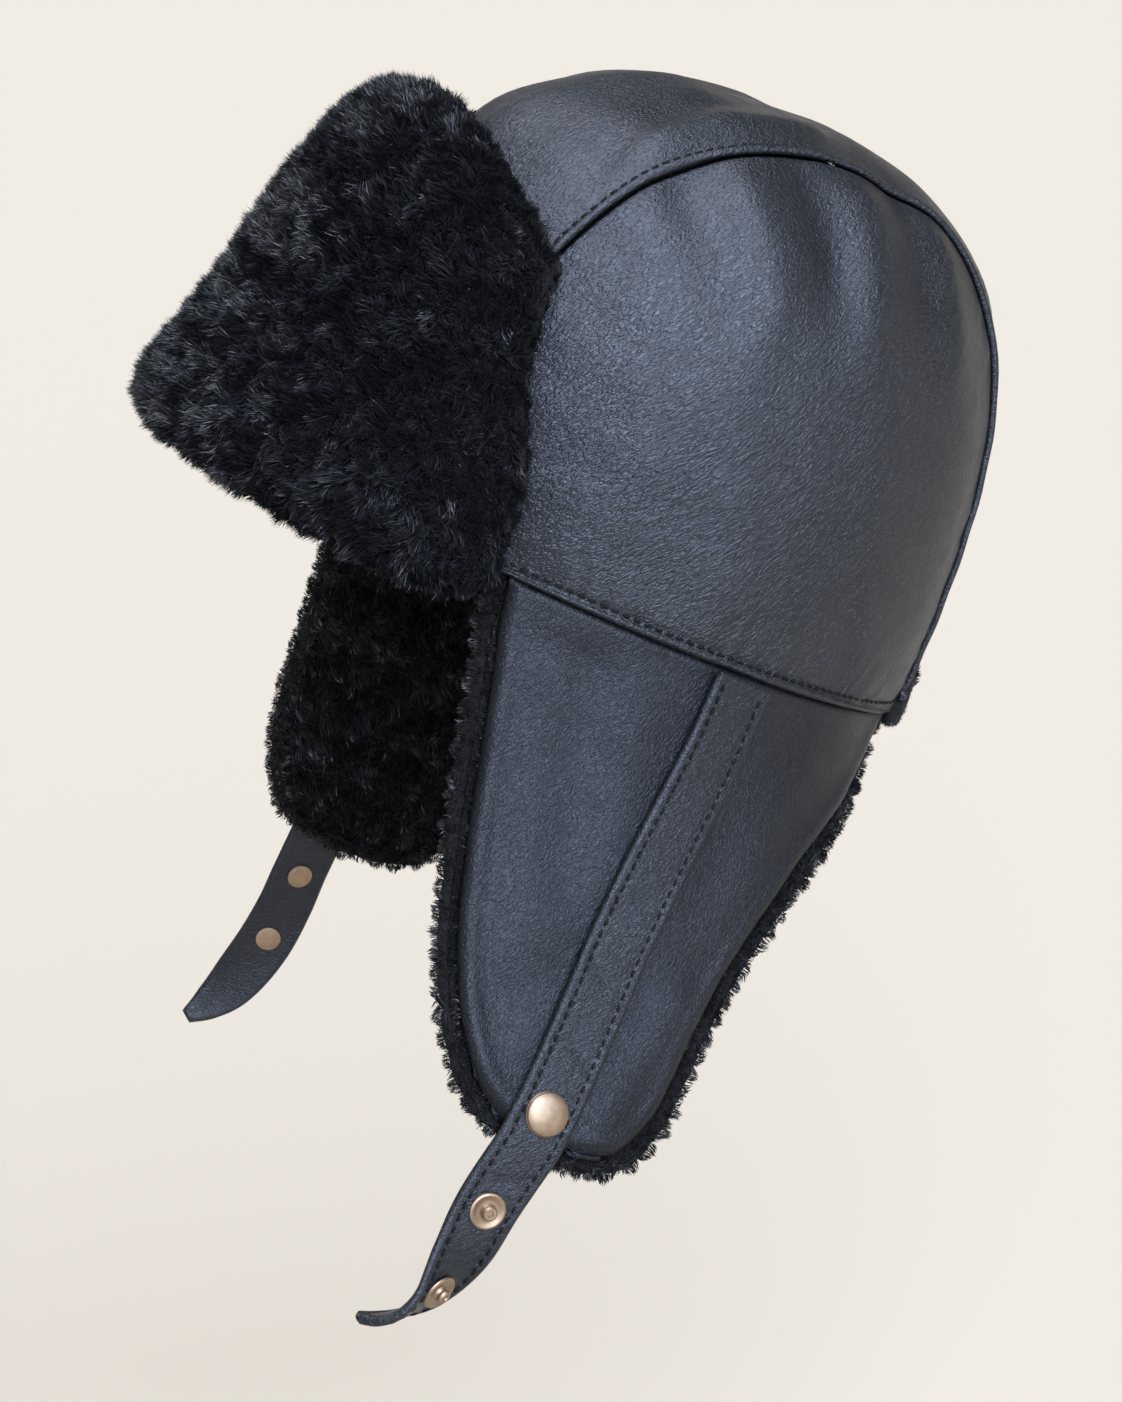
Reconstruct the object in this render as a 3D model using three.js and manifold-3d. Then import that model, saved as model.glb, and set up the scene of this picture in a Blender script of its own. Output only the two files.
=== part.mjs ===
// Sheepskin aviator hat, as worn: a three-panel leather crown with a pile lining, a fur front flap turned
// up at the brow, and two fur-lined ear flaps, each with a sewn strap that carries a snap cap and two studs.
// The hat is shaped about its own axis and then tipped back. x points to the wearer's left, y to the back.

import * as THREE from "three";
import { mergeVertices } from "three/addons/utils/BufferGeometryUtils.js";
import Module from "manifold-3d";

// Driving dimensions, in millimetres and degrees
const PITCH = 27; // how far the hat is tipped back
const CROWN_HALF_WIDTH = 89;
const CROWN_HALF_LENGTH = 112;
const CROWN_HEIGHT = 154;
const CROWN_FULLNESS = 2.73; // exponent of the crown's upright outline, 2 is an ellipse
const LEATHER = 1.6;
const GAP = 0.4; // between pieces that touch
const LINING_GAP = 0.8; // behind a curved wall, where two faceted skins run side by side
const SEAM_ROLL = 1.3; // how far a folded edge stands up from the leather beside it
const SEAM_ROLL_WIDTH = 7;
const FOLD_DEPTH = 2.4; // the deepest crown fold
const NAPE_RISE = 21; // how far the leather edge climbs at the nape
const NAPE_BAND_DROP = 9; // how far the fur band hangs below the brow line at the nape
const PILE = 8; // lining skin and pile together
const EAR_FLAP_LENGTH = 144;
const EAR_FLAP_WIDTH = 151; // along the brow line, front to back
const EAR_FLAP_SETBACK = 58; // from the crown's front back to the flap's front edge
const EAR_FLAP_FRONT = CROWN_HALF_LENGTH - EAR_FLAP_SETBACK;
const EAR_FLAP_HANG = { left: { flare: 18, sway: 0 }, right: { flare: 30, sway: 9 } };
const EAR_FLAP_INSET = 1; // how far the flap's leather sits in from the crown's edge
const EAR_FRINGE = 7; // fur past the leather edge
const FRONT_FLAP_HEIGHT = 113;
const FRONT_FLAP_SIDE_HEIGHT = 91;
const FRONT_FLAP_HALF_ANGLE = 60;
const FRONT_FLAP_STAND = 12; // from the crown to the turned-up leather
const FRONT_FUR_DEPTH = 25;
const FRONT_FUR_OVERHANG = 14;
const FRONT_FUR_START = 0.37; // share of the front flap's section below which no pile grows
const LOCK_HEIGHT = 2;
const STRAP_WIDTH = 21;
const STRAP_THICKNESS = 2.6;
const STRAP_CLEARANCE = 0.9; // over the curved flap beneath it
const STRAP_FREE_LENGTH = 72; // past the ear flap's end
const STRAP_LENGTH = EAR_FLAP_LENGTH + STRAP_FREE_LENGTH;
const STRAP_TWIST = 80; // how far the free end turns over
const SNAP_CLEARANCE = 0.7; // over the curved strap
const SNAP_CAP_DIAMETER = 13.5;
const SNAP_CAP_HEIGHT = 2.6;
const SNAP_STUD_DIAMETER = 11.4;
const SNAP_POST_DIAMETER = 4.6;
const SNAP_POST_HEIGHT = 3.2;
const SNAP_SHANK_DIAMETER = 3;

// Crown seam: half-width of the centre panel, as a share of the brow-to-crown arc, from brow (1) to nape (-1)
const SEAM = [
  { along: 1, half: 0.64 },
  { along: 0.75, half: 0.54 },
  { along: 0.55, half: 0.447 },
  { along: 0.35, half: 0.378 },
  { along: 0.15, half: 0.33 },
  { along: -0.05, half: 0.283 },
  { along: -0.3, half: 0.245 },
  { along: -0.5, half: 0.275 },
  { along: -0.75, half: 0.38 },
  { along: -1, half: 0.43 },
];

// Crown folds: each runs from one place to another on the crown seen from above, where side is 1 at the
// side edge, front is 1 at the brow, and width and height are shares of the arc and of the deepest fold
const CROWN_FOLDS = [
  { side: 0.4, front: 0.27, toSide: 0.58, toFront: 0.15, width: 0.05, height: -0.9 },
  { side: 0.42, front: 0.17, toSide: 0.56, toFront: 0.1, width: 0.055, height: 0.9 },
  { side: 0.37, front: 0.055, toSide: 0.5, toFront: -0.01, width: 0.04, height: -1 },
  { side: 0.36, front: -0.05, toSide: 0.54, toFront: -0.11, width: 0.05, height: 0.9 },
  { side: 0.27, front: -0.12, toSide: 0.42, toFront: -0.21, width: 0.045, height: -0.8 },
  { side: 0.3, front: -0.22, toSide: 0.44, toFront: -0.32, width: 0.045, height: 0.6 },
  { side: 0.84, front: 0.34, toSide: 0.64, toFront: 0.14, width: 0.1, height: 0.35 },
  { side: 0.78, front: -0.36, toSide: 0.8, toFront: -0.52, width: 0.03, height: -0.45 },
  { side: 0.3, front: 0.34, toSide: 0.19, toFront: 0.04, width: 0.045, height: 0.85 },
  { side: 0.31, front: 0.4, toSide: 0.15, toFront: 0.22, width: 0.035, height: -0.7 },
  { side: 0.12, front: 0.36, toSide: 0.1, toFront: 0.16, width: 0.13, height: -0.7 },
  { side: 0.04, front: 0.54, toSide: 0.04, toFront: 0.5, width: 0.09, height: 1 },
  { side: 0.1, front: -0.12, toSide: 0.12, toFront: -0.4, width: 0.12, height: 0.8 },
];

// Ear flap outline: shares of its length downward and of its brow width from the front corner
const EAR_FLAP = [
  { down: 0, front: 0, back: 1 },
  { down: 0.1, front: 0.016, back: 0.965 },
  { down: 0.2, front: 0.04, back: 0.905 },
  { down: 0.3, front: 0.06, back: 0.83 },
  { down: 0.43, front: 0.085, back: 0.76 },
  { down: 0.55, front: 0.11, back: 0.715 },
  { down: 0.68, front: 0.14, back: 0.685 },
  { down: 0.8, front: 0.185, back: 0.668 },
  { down: 0.89, front: 0.235, back: 0.65 },
  { down: 0.95, front: 0.29, back: 0.618 },
  { down: 0.985, front: 0.36, back: 0.57 },
  { down: 1, front: 0.47, back: 0.47 },
];

// Ear flap folds, in shares of its width and length, and of the deepest crown fold
const EAR_FLAP_FOLDS = [
  { side: 0.2, front: 0.08, toSide: 0.3, toFront: 0.5, width: 0.06, height: -0.5 },
  { side: 0.34, front: 0.16, toSide: 0.4, toFront: 0.62, width: 0.09, height: 0.5 },
  { side: 0.28, front: 0.78, toSide: 0.4, toFront: 0.6, width: 0.07, height: -0.6 },
  { side: 0.24, front: 0.94, toSide: 0.36, toFront: 0.78, width: 0.07, height: 0.4 },
  { side: 0.62, front: 0.68, toSide: 0.54, toFront: 0.94, width: 0.06, height: 0.7 },
  { side: 0.74, front: 0.16, toSide: 0.66, toFront: 0.5, width: 0.06, height: 0.5 },
];

// Front flap section: from the brow seam round the fold and up, and its half-width at each height
const FRONT_FLAP = [
  { rise: -0.006, stand: -0.06, half: 1 },
  { rise: -0.045, stand: 0.1, half: 1 },
  { rise: -0.065, stand: 0.5, half: 1 },
  { rise: -0.03, stand: 0.95, half: 1 },
  { rise: 0.08, stand: 1.05, half: 0.99 },
  { rise: 0.22, stand: 0.8, half: 0.93 },
  { rise: 0.42, stand: 0.5, half: 0.84 },
  { rise: 0.7, stand: 0.45, half: 0.75 },
  { rise: 1, stand: 0.75, half: 0.72 },
];

// Front fur: depth of the pile up the flap
const FRONT_FUR = [
  { rise: 0, depth: 1.2 },
  { rise: 0.25, depth: 1.02 },
  { rise: 0.5, depth: 0.92 },
  { rise: 0.75, depth: 0.88 },
  { rise: 1, depth: 0.9 },
];

// Strap: course down the flap, in shares of its length, with its width and turn, then each free end
const STRAP = [
  { down: 0.008, back: 0.112, wide: 1, turn: 0 },
  { down: 0.12, back: 0.105, wide: 1, turn: 0 },
  { down: 0.33, back: 0.07, wide: 1, turn: 0 },
  { down: 0.5, back: 0.052, wide: 1, turn: 0 },
  { down: 0.63, back: 0.037, wide: 1, turn: 0 },
];
const STRAP_END = {
  left: [
    { down: 0.76, back: 0.012, wide: 1, turn: 0.04 },
    { down: 0.84, back: 0.004, wide: 1, turn: 0.2 },
    { down: 0.906, back: -0.012, wide: 0.97, turn: 0.55 },
    { down: 0.946, back: -0.04, wide: 0.85, turn: 0.85 },
    { down: 0.966, back: -0.068, wide: 0.62, turn: 1 },
    { down: 0.974, back: -0.094, wide: 0.25, turn: 1.05 },
  ],
  right: [
    { down: 0.76, back: 0.038, wide: 1, turn: 0 },
    { down: 0.84, back: 0.042, wide: 1, turn: 0.05 },
    { down: 0.92, back: 0.038, wide: 0.97, turn: 0.2 },
    { down: 1, back: 0.02, wide: 0.85, turn: 0.45 },
    { down: 1.05, back: -0.004, wide: 0.6, turn: 0.6 },
    { down: 1.085, back: -0.03, wide: 0.25, turn: 0.7 },
  ],
};

// Strap section: share of the half-width, and of the full thickness
const STRAP_SECTION = [
  { across: -1, thick: 0.4 },
  { across: -0.88, thick: 1 },
  { across: 0, thick: 1 },
  { across: 0.88, thick: 1 },
  { across: 1, thick: 0.4 },
];

// Snap profiles: shares of a radius, with heights in millimetres from the snap's foot, or as shares of the
// post's height
const SNAP_RIM = 0.5;
const CAP_DOME = [1, 0.97, 0.85, 0.62, 0.35, 0];
const CAP_ROUND = 2.6; // exponent of the dome's outline
const STUD_BACK = [
  { radius: 0, below: 0.8 },
  { radius: 0.72, below: 0.8 },
  { radius: 0.8, below: 0 },
];
const STUD_FLANGE = [
  { radius: 1, above: 0 },
  { radius: 1, above: 0.6 },
  { radius: 0.8, above: 1 },
  { radius: 0.6, above: 0.5 },
];
const STUD_POST = [
  { radius: 1, up: 0.16 },
  { radius: 0.85, up: 0.45 },
  { radius: 1, up: 0.75 },
  { radius: 0.6, up: 1 },
  { radius: 0, up: 1 },
];
const CAP_PLACE = 0.63; // where each snap sits, as a share of the strap's drop
const UPPER_STUD_PLACE = 0.775;
const LOWER_STUD_PLACE = 0.9;

const wasm = await Module();
wasm.setup();

const rad = THREE.MathUtils.degToRad;
const { lerp, smoothstep, clamp } = THREE.MathUtils;
const WELD = 1e-4; // points nearer than this are one point

// Smooth value of one table column at a place in its first column, with a slope taken from the rows beside it
function read(table, column, at) {
  const key = Object.keys(table[0])[0];
  const order = Math.sign(table.at(-1)[key] - table[0][key]);
  let i = 0;
  while (i < table.length - 2 && (table[i + 1][key] - at) * order < 0) i += 1;
  const slope = (k) => {
    const before = table[Math.max(k - 1, 0)];
    const after = table[Math.min(k + 1, table.length - 1)];
    return (after[column] - before[column]) / (after[key] - before[key]);
  };
  const span = table[i + 1][key] - table[i][key];
  const t = clamp((at - table[i][key]) / span, 0, 1);
  const start = table[i][column] * (1 + 2 * t) * (1 - t) ** 2 + slope(i) * span * t * (1 - t) ** 2;
  const end = table[i + 1][column] * (3 - 2 * t) * t ** 2 + slope(i + 1) * span * (t - 1) * t ** 2;
  return start + end;
}

// Height of the folds near a place, each fading out across its width
function folds(table, side, front) {
  let height = 0;
  for (const fold of table) {
    const run = [fold.toSide - fold.side, fold.toFront - fold.front];
    const from = [side - fold.side, front - fold.front];
    const t = clamp((from[0] * run[0] + from[1] * run[1]) / (run[0] ** 2 + run[1] ** 2), 0, 1);
    const away = Math.hypot(from[0] - run[0] * t, from[1] - run[1] * t) / fold.width;
    height += fold.height * FOLD_DEPTH * Math.exp(-away * away);
  }
  return height;
}

// Sign of x on each side
const HAND = { left: 1, right: -1 };

// Closed body between two grids of points, outside and inside, where columns that meet close on themselves
function closedShell(outside, inside, wraps = false) {
  const columns = outside.length;
  const rows = outside[0].length;
  const points = [...outside.flat(), ...inside.flat()];
  const out = (i, j) => i * rows + j;
  const inn = (i, j) => columns * rows + i * rows + j;
  const index = [];
  const quad = (a, b, c, d) => index.push(a, b, c, a, c, d);
  for (let i = 0; i < columns - 1; i += 1) {
    for (let j = 0; j < rows - 1; j += 1) {
      quad(out(i, j), out(i + 1, j), out(i + 1, j + 1), out(i, j + 1));
      quad(inn(i, j), inn(i, j + 1), inn(i + 1, j + 1), inn(i + 1, j));
    }
    quad(out(i, 0), inn(i, 0), inn(i + 1, 0), out(i + 1, 0));
    quad(out(i, rows - 1), out(i + 1, rows - 1), inn(i + 1, rows - 1), inn(i, rows - 1));
  }
  for (let j = 0; j < rows - 1 && !wraps; j += 1) {
    quad(out(0, j), out(0, j + 1), inn(0, j + 1), inn(0, j));
    quad(out(columns - 1, j), inn(columns - 1, j), inn(columns - 1, j + 1), out(columns - 1, j + 1));
  }
  return closed(points, index);
}

// Merged geometry without collapsed faces, turned so that its faces point out
function closed(points, index) {
  let geometry = new THREE.BufferGeometry().setFromPoints(points);
  geometry.setIndex(index);
  geometry = mergeVertices(geometry, WELD);
  const spots = geometry.attributes.position;
  const corners = [new THREE.Vector3(), new THREE.Vector3(), new THREE.Vector3()];
  let faces = [];
  let volume = 0;
  for (let k = 0; k < geometry.index.count; k += 3) {
    const face = [0, 1, 2].map((c) => geometry.index.getX(k + c));
    if (new Set(face).size < 3) continue;
    face.forEach((corner, c) => corners[c].fromBufferAttribute(spots, corner));
    volume += corners[0].dot(corners[1].clone().cross(corners[2]));
    faces.push(face);
  }
  if (volume < 0) faces = faces.map(([a, b, c]) => [a, c, b]);
  geometry.setIndex(faces.flat());
  return geometry;
}

// Grid of points over columns and rows of shares
function grid(columns, rows, place) {
  return columns.map((u) => rows.map((v) => place(u, v)));
}

const even = (count) => Array.from({ length: count + 1 }, (_, k) => k / count);

// Crown surface. side and front place a point on the crown seen from above, and reach 1 at the brow line
function crownPoint(side, front, offset) {
  const reach = Math.hypot(side, front);
  const around = Math.atan2(side, front);
  const angle = (Math.min(reach, 1) * Math.PI) / 2;
  const squares = Math.sin(angle) ** CROWN_FULLNESS + Math.cos(angle) ** CROWN_FULLNESS;
  const size = squares ** (1 / CROWN_FULLNESS);
  const ring = Math.sin(angle) / size;
  const below = (Math.max(reach - 1, 0) * Math.PI) / 2;
  const up = Math.max(Math.cos(angle) / size, 0);
  const point = new THREE.Vector3(
    CROWN_HALF_WIDTH * ring * Math.sin(around),
    -CROWN_HALF_LENGTH * ring * Math.cos(around),
    CROWN_HEIGHT * (up - below),
  );
  const pull = ring ** (CROWN_FULLNESS - 2);
  const normal = new THREE.Vector3(
    (pull * point.x) / CROWN_HALF_WIDTH ** 2,
    (pull * point.y) / CROWN_HALF_LENGTH ** 2,
    up ** (CROWN_FULLNESS - 1) / CROWN_HEIGHT,
  ).normalize();
  return point.addScaledVector(normal, offset);
}

const ARC_CLIMB = 0.7; // share of the crown's height that its rounded section adds to the arc
const CROWN_ARC = CROWN_HALF_WIDTH + CROWN_HEIGHT * ARC_CLIMB; // brow line to the top, along the leather
const seamHalf = (along) => read(SEAM, "half", along);
const frontAt = (side, along) => along * Math.sqrt(Math.max(1 - side * side, 0));

const NAPE_START = 151; // where the leather edge starts to climb, in degrees round from the front
const NAPE_TOP = 164;
const TRIM_START = 0.75; // reach from which places are pulled up to the trimmed edge

// How far the crown's leather edge stays short of the brow line, as a share of the arc
function napeShare(side, front) {
  const around = Math.abs(Math.atan2(side, front));
  const rise = NAPE_RISE * smoothstep(around, rad(NAPE_START), rad(NAPE_TOP));
  return (2 / Math.PI) * Math.asin(rise / CROWN_HEIGHT);
}

// Pulls a place on the brow line up to the leather edge
function trimmed(side, front) {
  const reach = Math.hypot(side, front);
  const most = 1 - napeShare(side, front);
  const keep = reach > 0 ? Math.min(1, lerp(1, most, smoothstep(reach, TRIM_START, 1))) : 1;
  return [side * keep, front * keep];
}

const crownFolds = (side, front) => folds(CROWN_FOLDS, Math.abs(side), front);

// A leather wall of the crown, whose place function gives the side and front shares and the edge roll
function crownWall(columns, rows, place) {
  const skin = (inner) =>
    grid(columns, rows, (u, v) => {
      const [side, front, roll] = place(u, v);
      return crownPoint(side, front, crownFolds(side, front) + (inner ? -LEATHER : roll));
    });
  return closedShell(skin(false), skin(true));
}

const SEAM_STEPS = 28;
const CENTER_COLUMNS = [-1, -0.9, -0.75, -0.58, -0.35, 0, 0.35, 0.58, 0.75, 0.9, 1];
const SIDE_ROWS = [0, 0.03, 0.1, 0.25, 0.42, 0.6, 0.76, 0.9, 1];
const SIDE_RISE = 0.6; // share of the arc from the brow line up to the seam
const ROLL_FLAT = 0.6; // share of the roll's width over which it stays full

const seamPlaces = even(SEAM_STEPS).map((t) => Math.cos(t * Math.PI));
const rollAcross = (away) => SEAM_ROLL * (1 - smoothstep(away, SEAM_ROLL_WIDTH * ROLL_FLAT, SEAM_ROLL_WIDTH));

function centerPanel() {
  return crownWall(seamPlaces, CENTER_COLUMNS, (along, share) => {
    const half = seamHalf(along) - GAP / 2 / CROWN_ARC;
    const side = half * share;
    const roll = rollAcross(half * (1 - Math.abs(share)) * CROWN_ARC);
    return [...trimmed(side, frontAt(side, along)), roll];
  });
}

function sidePanel(side) {
  const browStart = Math.asin(seamHalf(1));
  const browEnd = Math.PI - Math.asin(seamHalf(-1));
  return crownWall(even(SEAM_STEPS), SIDE_ROWS, (t, share) => {
    const along = Math.cos(t * Math.PI);
    const half = seamHalf(along) + GAP / 2 / CROWN_ARC;
    const around = lerp(browStart, browEnd, t);
    const across = lerp(Math.sin(around), half, share);
    const front = lerp(Math.cos(around), frontAt(half, along), share);
    const [cutSide, cutFront] = trimmed(across, front);
    const roll = rollAcross(share * CROWN_ARC * SIDE_RISE) * Math.sin(t * Math.PI);
    return [HAND[side] * cutSide, cutFront, roll];
  });
}

const LINING_COLUMNS = 26;
const LINING_ROWS = 6;

function crownLining() {
  const depth = LEATHER + FOLD_DEPTH + LINING_GAP;
  const most = 1 - (2 * LINING_GAP) / CROWN_HEIGHT;
  const skin = (inward) =>
    grid(even(LINING_COLUMNS), even(LINING_ROWS), (t, share) => {
      const around = t * 2 * Math.PI;
      const reach = share * most;
      const [side, front] = trimmed(reach * Math.sin(around), reach * Math.cos(around));
      return crownPoint(side, front, -inward);
    });
  return closedShell(skin(depth), skin(depth + PILE), true);
}

const NAPE_BAND_HALF_SPAN = 28.5; // degrees each way from the middle of the nape
const NAPE_BAND_GAP = 1.1; // below the leather edge
const NAPE_BAND_INSET = 0.8;
const NAPE_BAND_LOCKS = 7;
const NAPE_BAND_COLUMNS = 20;
const NAPE_BAND_ROWS = 5;
const BAND_END = 0.35; // exponent of how the band runs out at its ends
const BAND_ROUND = 0.6; // exponent of its rounded section
const END_SHARE = 0.001; // keeps the two ends from closing to a point

// Fur band below the leather at the nape, a rounded roll that follows the edge
function napeBand() {
  const halfSpan = rad(NAPE_BAND_HALF_SPAN);
  const place = (t, s, way) => {
    const around = Math.PI + lerp(-halfSpan, halfSpan, t);
    const side = Math.sin(around);
    const front = Math.cos(around);
    const top = 1 - napeShare(side, front) + NAPE_BAND_GAP / CROWN_HEIGHT;
    const ends = Math.sin(Math.PI * clamp(t, END_SHARE, 1 - END_SHARE)) ** BAND_END;
    const bottom = 1 + ((2 / Math.PI) * NAPE_BAND_DROP * ends) / CROWN_HEIGHT;
    const reach = lerp(top, bottom, (1 - Math.cos(Math.PI * s)) / 2);
    const bulge = Math.sin(Math.PI * s) ** BAND_ROUND;
    const lock = (LOCK_HEIGHT / 2) * Math.abs(Math.sin(t * Math.PI * NAPE_BAND_LOCKS)) * bulge;
    return crownPoint(side * reach, front * reach, way * (PILE / 2 + lock) * bulge - NAPE_BAND_INSET);
  };
  const skin = (way) => grid(even(NAPE_BAND_COLUMNS), even(NAPE_BAND_ROWS), (t, s) => place(t, s, way));
  return closedShell(skin(1), skin(-1));
}

// Drop below the brow line that a flap's lean acts on: it starts softly, and past the flap it is less
const FREE_LEAN = 0.3;
const LEAN_START = 1 / 6; // share of the flap's length over which its lean starts

function easedDrop(down) {
  const held = Math.min(down, EAR_FLAP_LENGTH);
  return held ** 2 / (held + EAR_FLAP_LENGTH * LEAN_START) + (down - held) * FREE_LEAN;
}

const HANG_SHARE = 0.5; // share of the flap's length over which it leaves the brow line's curve
const FLAP_BOW = 0.35; // how much its hanging part curves in towards its edges
const LEAST_ROOT = 0.02; // keeps the brow line's root real past the ends of the crown
const SLOPE_STEP = 0.5; // over which the face's slope is measured
const FOLD_START = 0.1; // share of the flap's length over which its folds start

// Ear flap face: how far out it stands at a place back along it and down it
function flapOut(back, down, hang) {
  const brow = CROWN_HALF_WIDTH * Math.sqrt(Math.max(1 - (back / CROWN_HALF_LENGTH) ** 2, LEAST_ROOT));
  const middle = EAR_FLAP_WIDTH / 2 - EAR_FLAP_FRONT;
  const hung = CROWN_HALF_WIDTH * (1 - FLAP_BOW * ((back - middle) / CROWN_HALF_LENGTH) ** 2);
  const flare = Math.tan(rad(hang.flare)) * easedDrop(down);
  return lerp(brow, hung, smoothstep(down, 0, EAR_FLAP_LENGTH * HANG_SHARE)) + flare - EAR_FLAP_INSET;
}

function flapPoint(back, down, offset, side) {
  const hang = EAR_FLAP_HANG[side];
  const out = (b, d) => flapOut(b, Math.max(d, 0), hang);
  const slopeBack = (out(back + SLOPE_STEP, down) - out(back - SLOPE_STEP, down)) / (2 * SLOPE_STEP);
  const slopeDown = (out(back, down + SLOPE_STEP) - out(back, down - SLOPE_STEP)) / (2 * SLOPE_STEP);
  const normal = new THREE.Vector3(1, -slopeBack, slopeDown).normalize();
  const share = (back + EAR_FLAP_FRONT) / EAR_FLAP_WIDTH;
  const fade = smoothstep(down, 0, EAR_FLAP_LENGTH * FOLD_START);
  const lift = offset + folds(EAR_FLAP_FOLDS, share, down / EAR_FLAP_LENGTH) * fade;
  const swung = back + Math.tan(rad(hang.sway)) * easedDrop(down);
  return new THREE.Vector3(out(back, down), swung, -down).addScaledVector(normal, lift);
}

// Share of the fringe that shows at each edge
const FRONT_FRINGE = 0.4;
const BACK_FRINGE = 1.3;
const FRINGE_START = 0.2; // share of the flap's length over which the fringe starts
const FRINGE_END = 8; // exponent of how it closes at the flap's end

// Place across and down the flap, whose outline grows by the fringe below its top edge
function flapPlace(across, share, grow) {
  const down = GAP + share * (EAR_FLAP_LENGTH - GAP + grow);
  const row = clamp(down / (EAR_FLAP_LENGTH + grow), 0, 1);
  const begun = smoothstep(down, 0, EAR_FLAP_LENGTH * FRINGE_START);
  const edge = grow * begun * Math.sqrt(Math.max(1 - row ** FRINGE_END, 0));
  const front = read(EAR_FLAP, "front", row) * EAR_FLAP_WIDTH - EAR_FLAP_FRONT - edge * FRONT_FRINGE;
  const back = read(EAR_FLAP, "back", row) * EAR_FLAP_WIDTH - EAR_FLAP_FRONT + edge * BACK_FRINGE;
  const start = Math.acos(clamp(front / -CROWN_HALF_LENGTH, -1, 1));
  const end = Math.acos(clamp(-back / CROWN_HALF_LENGTH, -1, 1));
  return [-CROWN_HALF_LENGTH * Math.cos(lerp(start, end, across)), down];
}

const mirrored = (point, hand) => point.setX(point.x * hand);
const FLAP_COLUMNS = 12;
const FLAP_ROWS = [0, 0.05, 0.12, 0.22, 0.35, 0.48, 0.61, 0.74, 0.85, 0.93, 0.975, 0.995, 1];

function earFlap(side) {
  const place = (u, v, depth) => mirrored(flapPoint(...flapPlace(u, v, 0), -depth, side), HAND[side]);
  const skin = (depth) => grid(even(FLAP_COLUMNS), FLAP_ROWS, (u, v) => place(u, v, depth));
  return closedShell(skin(0), skin(LEATHER));
}

const LOCK_ROUND = 0.7; // exponent of a lock's rounded top
const LOCK_ROOT = 0.35; // share of a lock's height at its root

// Rows of staggered locks, each rising from its root to its tip
function locks(u, v, across, down) {
  const row = Math.floor(v * down);
  const lean = v * down - row;
  return Math.abs(Math.sin(Math.PI * (u * across + row / 2))) ** LOCK_ROUND * lerp(LOCK_ROOT, 1, lean);
}

const CROWDING = 0.7; // 0 leaves shares even, 1 spaces them like a cosine
const PILE_FLATNESS = 5; // exponents of the pile's section, from edge to edge
const PILE_SHOULDER = 0.45;

// Shares that crowd towards both edges, and the rounded height of a flat-topped pile there
const packed = (count) => even(count).map((s) => lerp(s, (1 - Math.cos(Math.PI * s)) / 2, CROWDING));
const rounded = (share) => Math.max(1 - Math.abs(2 * share - 1) ** PILE_FLATNESS, 0) ** PILE_SHOULDER;

const EAR_LINING_COLUMNS = 13;
const EAR_LINING_ROWS = 12;
const EAR_LOCKS_ACROSS = 5;
const EAR_LOCKS_DOWN = 4;

function earLining(side) {
  const back = LEATHER + LINING_GAP;
  const deep = (u, v) => {
    const lock = LOCK_HEIGHT * locks(u, v, EAR_LOCKS_ACROSS, EAR_LOCKS_DOWN);
    return back + rounded(u) * rounded(v) * (PILE + lock);
  };
  const skin = (depth) =>
    grid(packed(EAR_LINING_COLUMNS), packed(EAR_LINING_ROWS), (u, v) => {
      const down = lerp(GAP / EAR_FLAP_LENGTH, 1, v);
      return mirrored(flapPoint(...flapPlace(u, down, EAR_FRINGE), -depth(u, v), side), HAND[side]);
    });
  return closedShell(skin(() => back), skin(deep));
}

// The front flap's section, with its rows spaced by their place along the leather
const FRONT_SECTION = FRONT_FLAP.map((row, k) => ({ along: k / (FRONT_FLAP.length - 1), ...row }));
const SECTION_STEP = 0.01; // over which the section's direction is measured

// Front flap leather: place across (-1 to 1) and along its section, pushed out from its middle surface
function frontPlace(across, along, push, sink = 0) {
  const spot = (t) => {
    const rise = read(FRONT_SECTION, "rise", t);
    const height = lerp(FRONT_FLAP_HEIGHT, FRONT_FLAP_SIDE_HEIGHT, across ** 2);
    const up = rise * height;
    const wall = (1 - (Math.max(up, 0) / CROWN_HEIGHT) ** CROWN_FULLNESS) ** (1 / CROWN_FULLNESS);
    const around = rad(FRONT_FLAP_HALF_ANGLE) * read(FRONT_SECTION, "half", t) * across;
    return { up, wall, around, stand: read(FRONT_SECTION, "stand", t) * FRONT_FLAP_STAND };
  };
  const here = spot(along);
  const next = spot(Math.min(along + SECTION_STEP, 1));
  const last = spot(Math.max(along - SECTION_STEP, 0));
  const out = (s) => CROWN_HALF_LENGTH * s.wall + s.stand;
  const tangent = new THREE.Vector2(out(next) - out(last), next.up - last.up).normalize();
  const ring = here.stand + push * tangent.y + sink;
  return new THREE.Vector3(
    (CROWN_HALF_WIDTH * here.wall + ring) * Math.sin(here.around),
    -(CROWN_HALF_LENGTH * here.wall + ring) * Math.cos(here.around),
    here.up - push * tangent.x,
  );
}

const FRONT_COLUMNS = 18;
const FRONT_ROWS = 11;

function frontFlap() {
  const place = (u, v, push) => frontPlace(2 * u - 1, v, push);
  const skin = (push) => grid(even(FRONT_COLUMNS), even(FRONT_ROWS), (u, v) => place(u, v, push));
  return closedShell(skin(LEATHER / 2), skin(-LEATHER / 2));
}

const FRONT_FUR_COLUMNS = 22;
const FRONT_FUR_ROWS = 12;
const FRONT_LOCKS_ACROSS = 8;
const FRONT_LOCKS_DOWN = 4;

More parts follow.
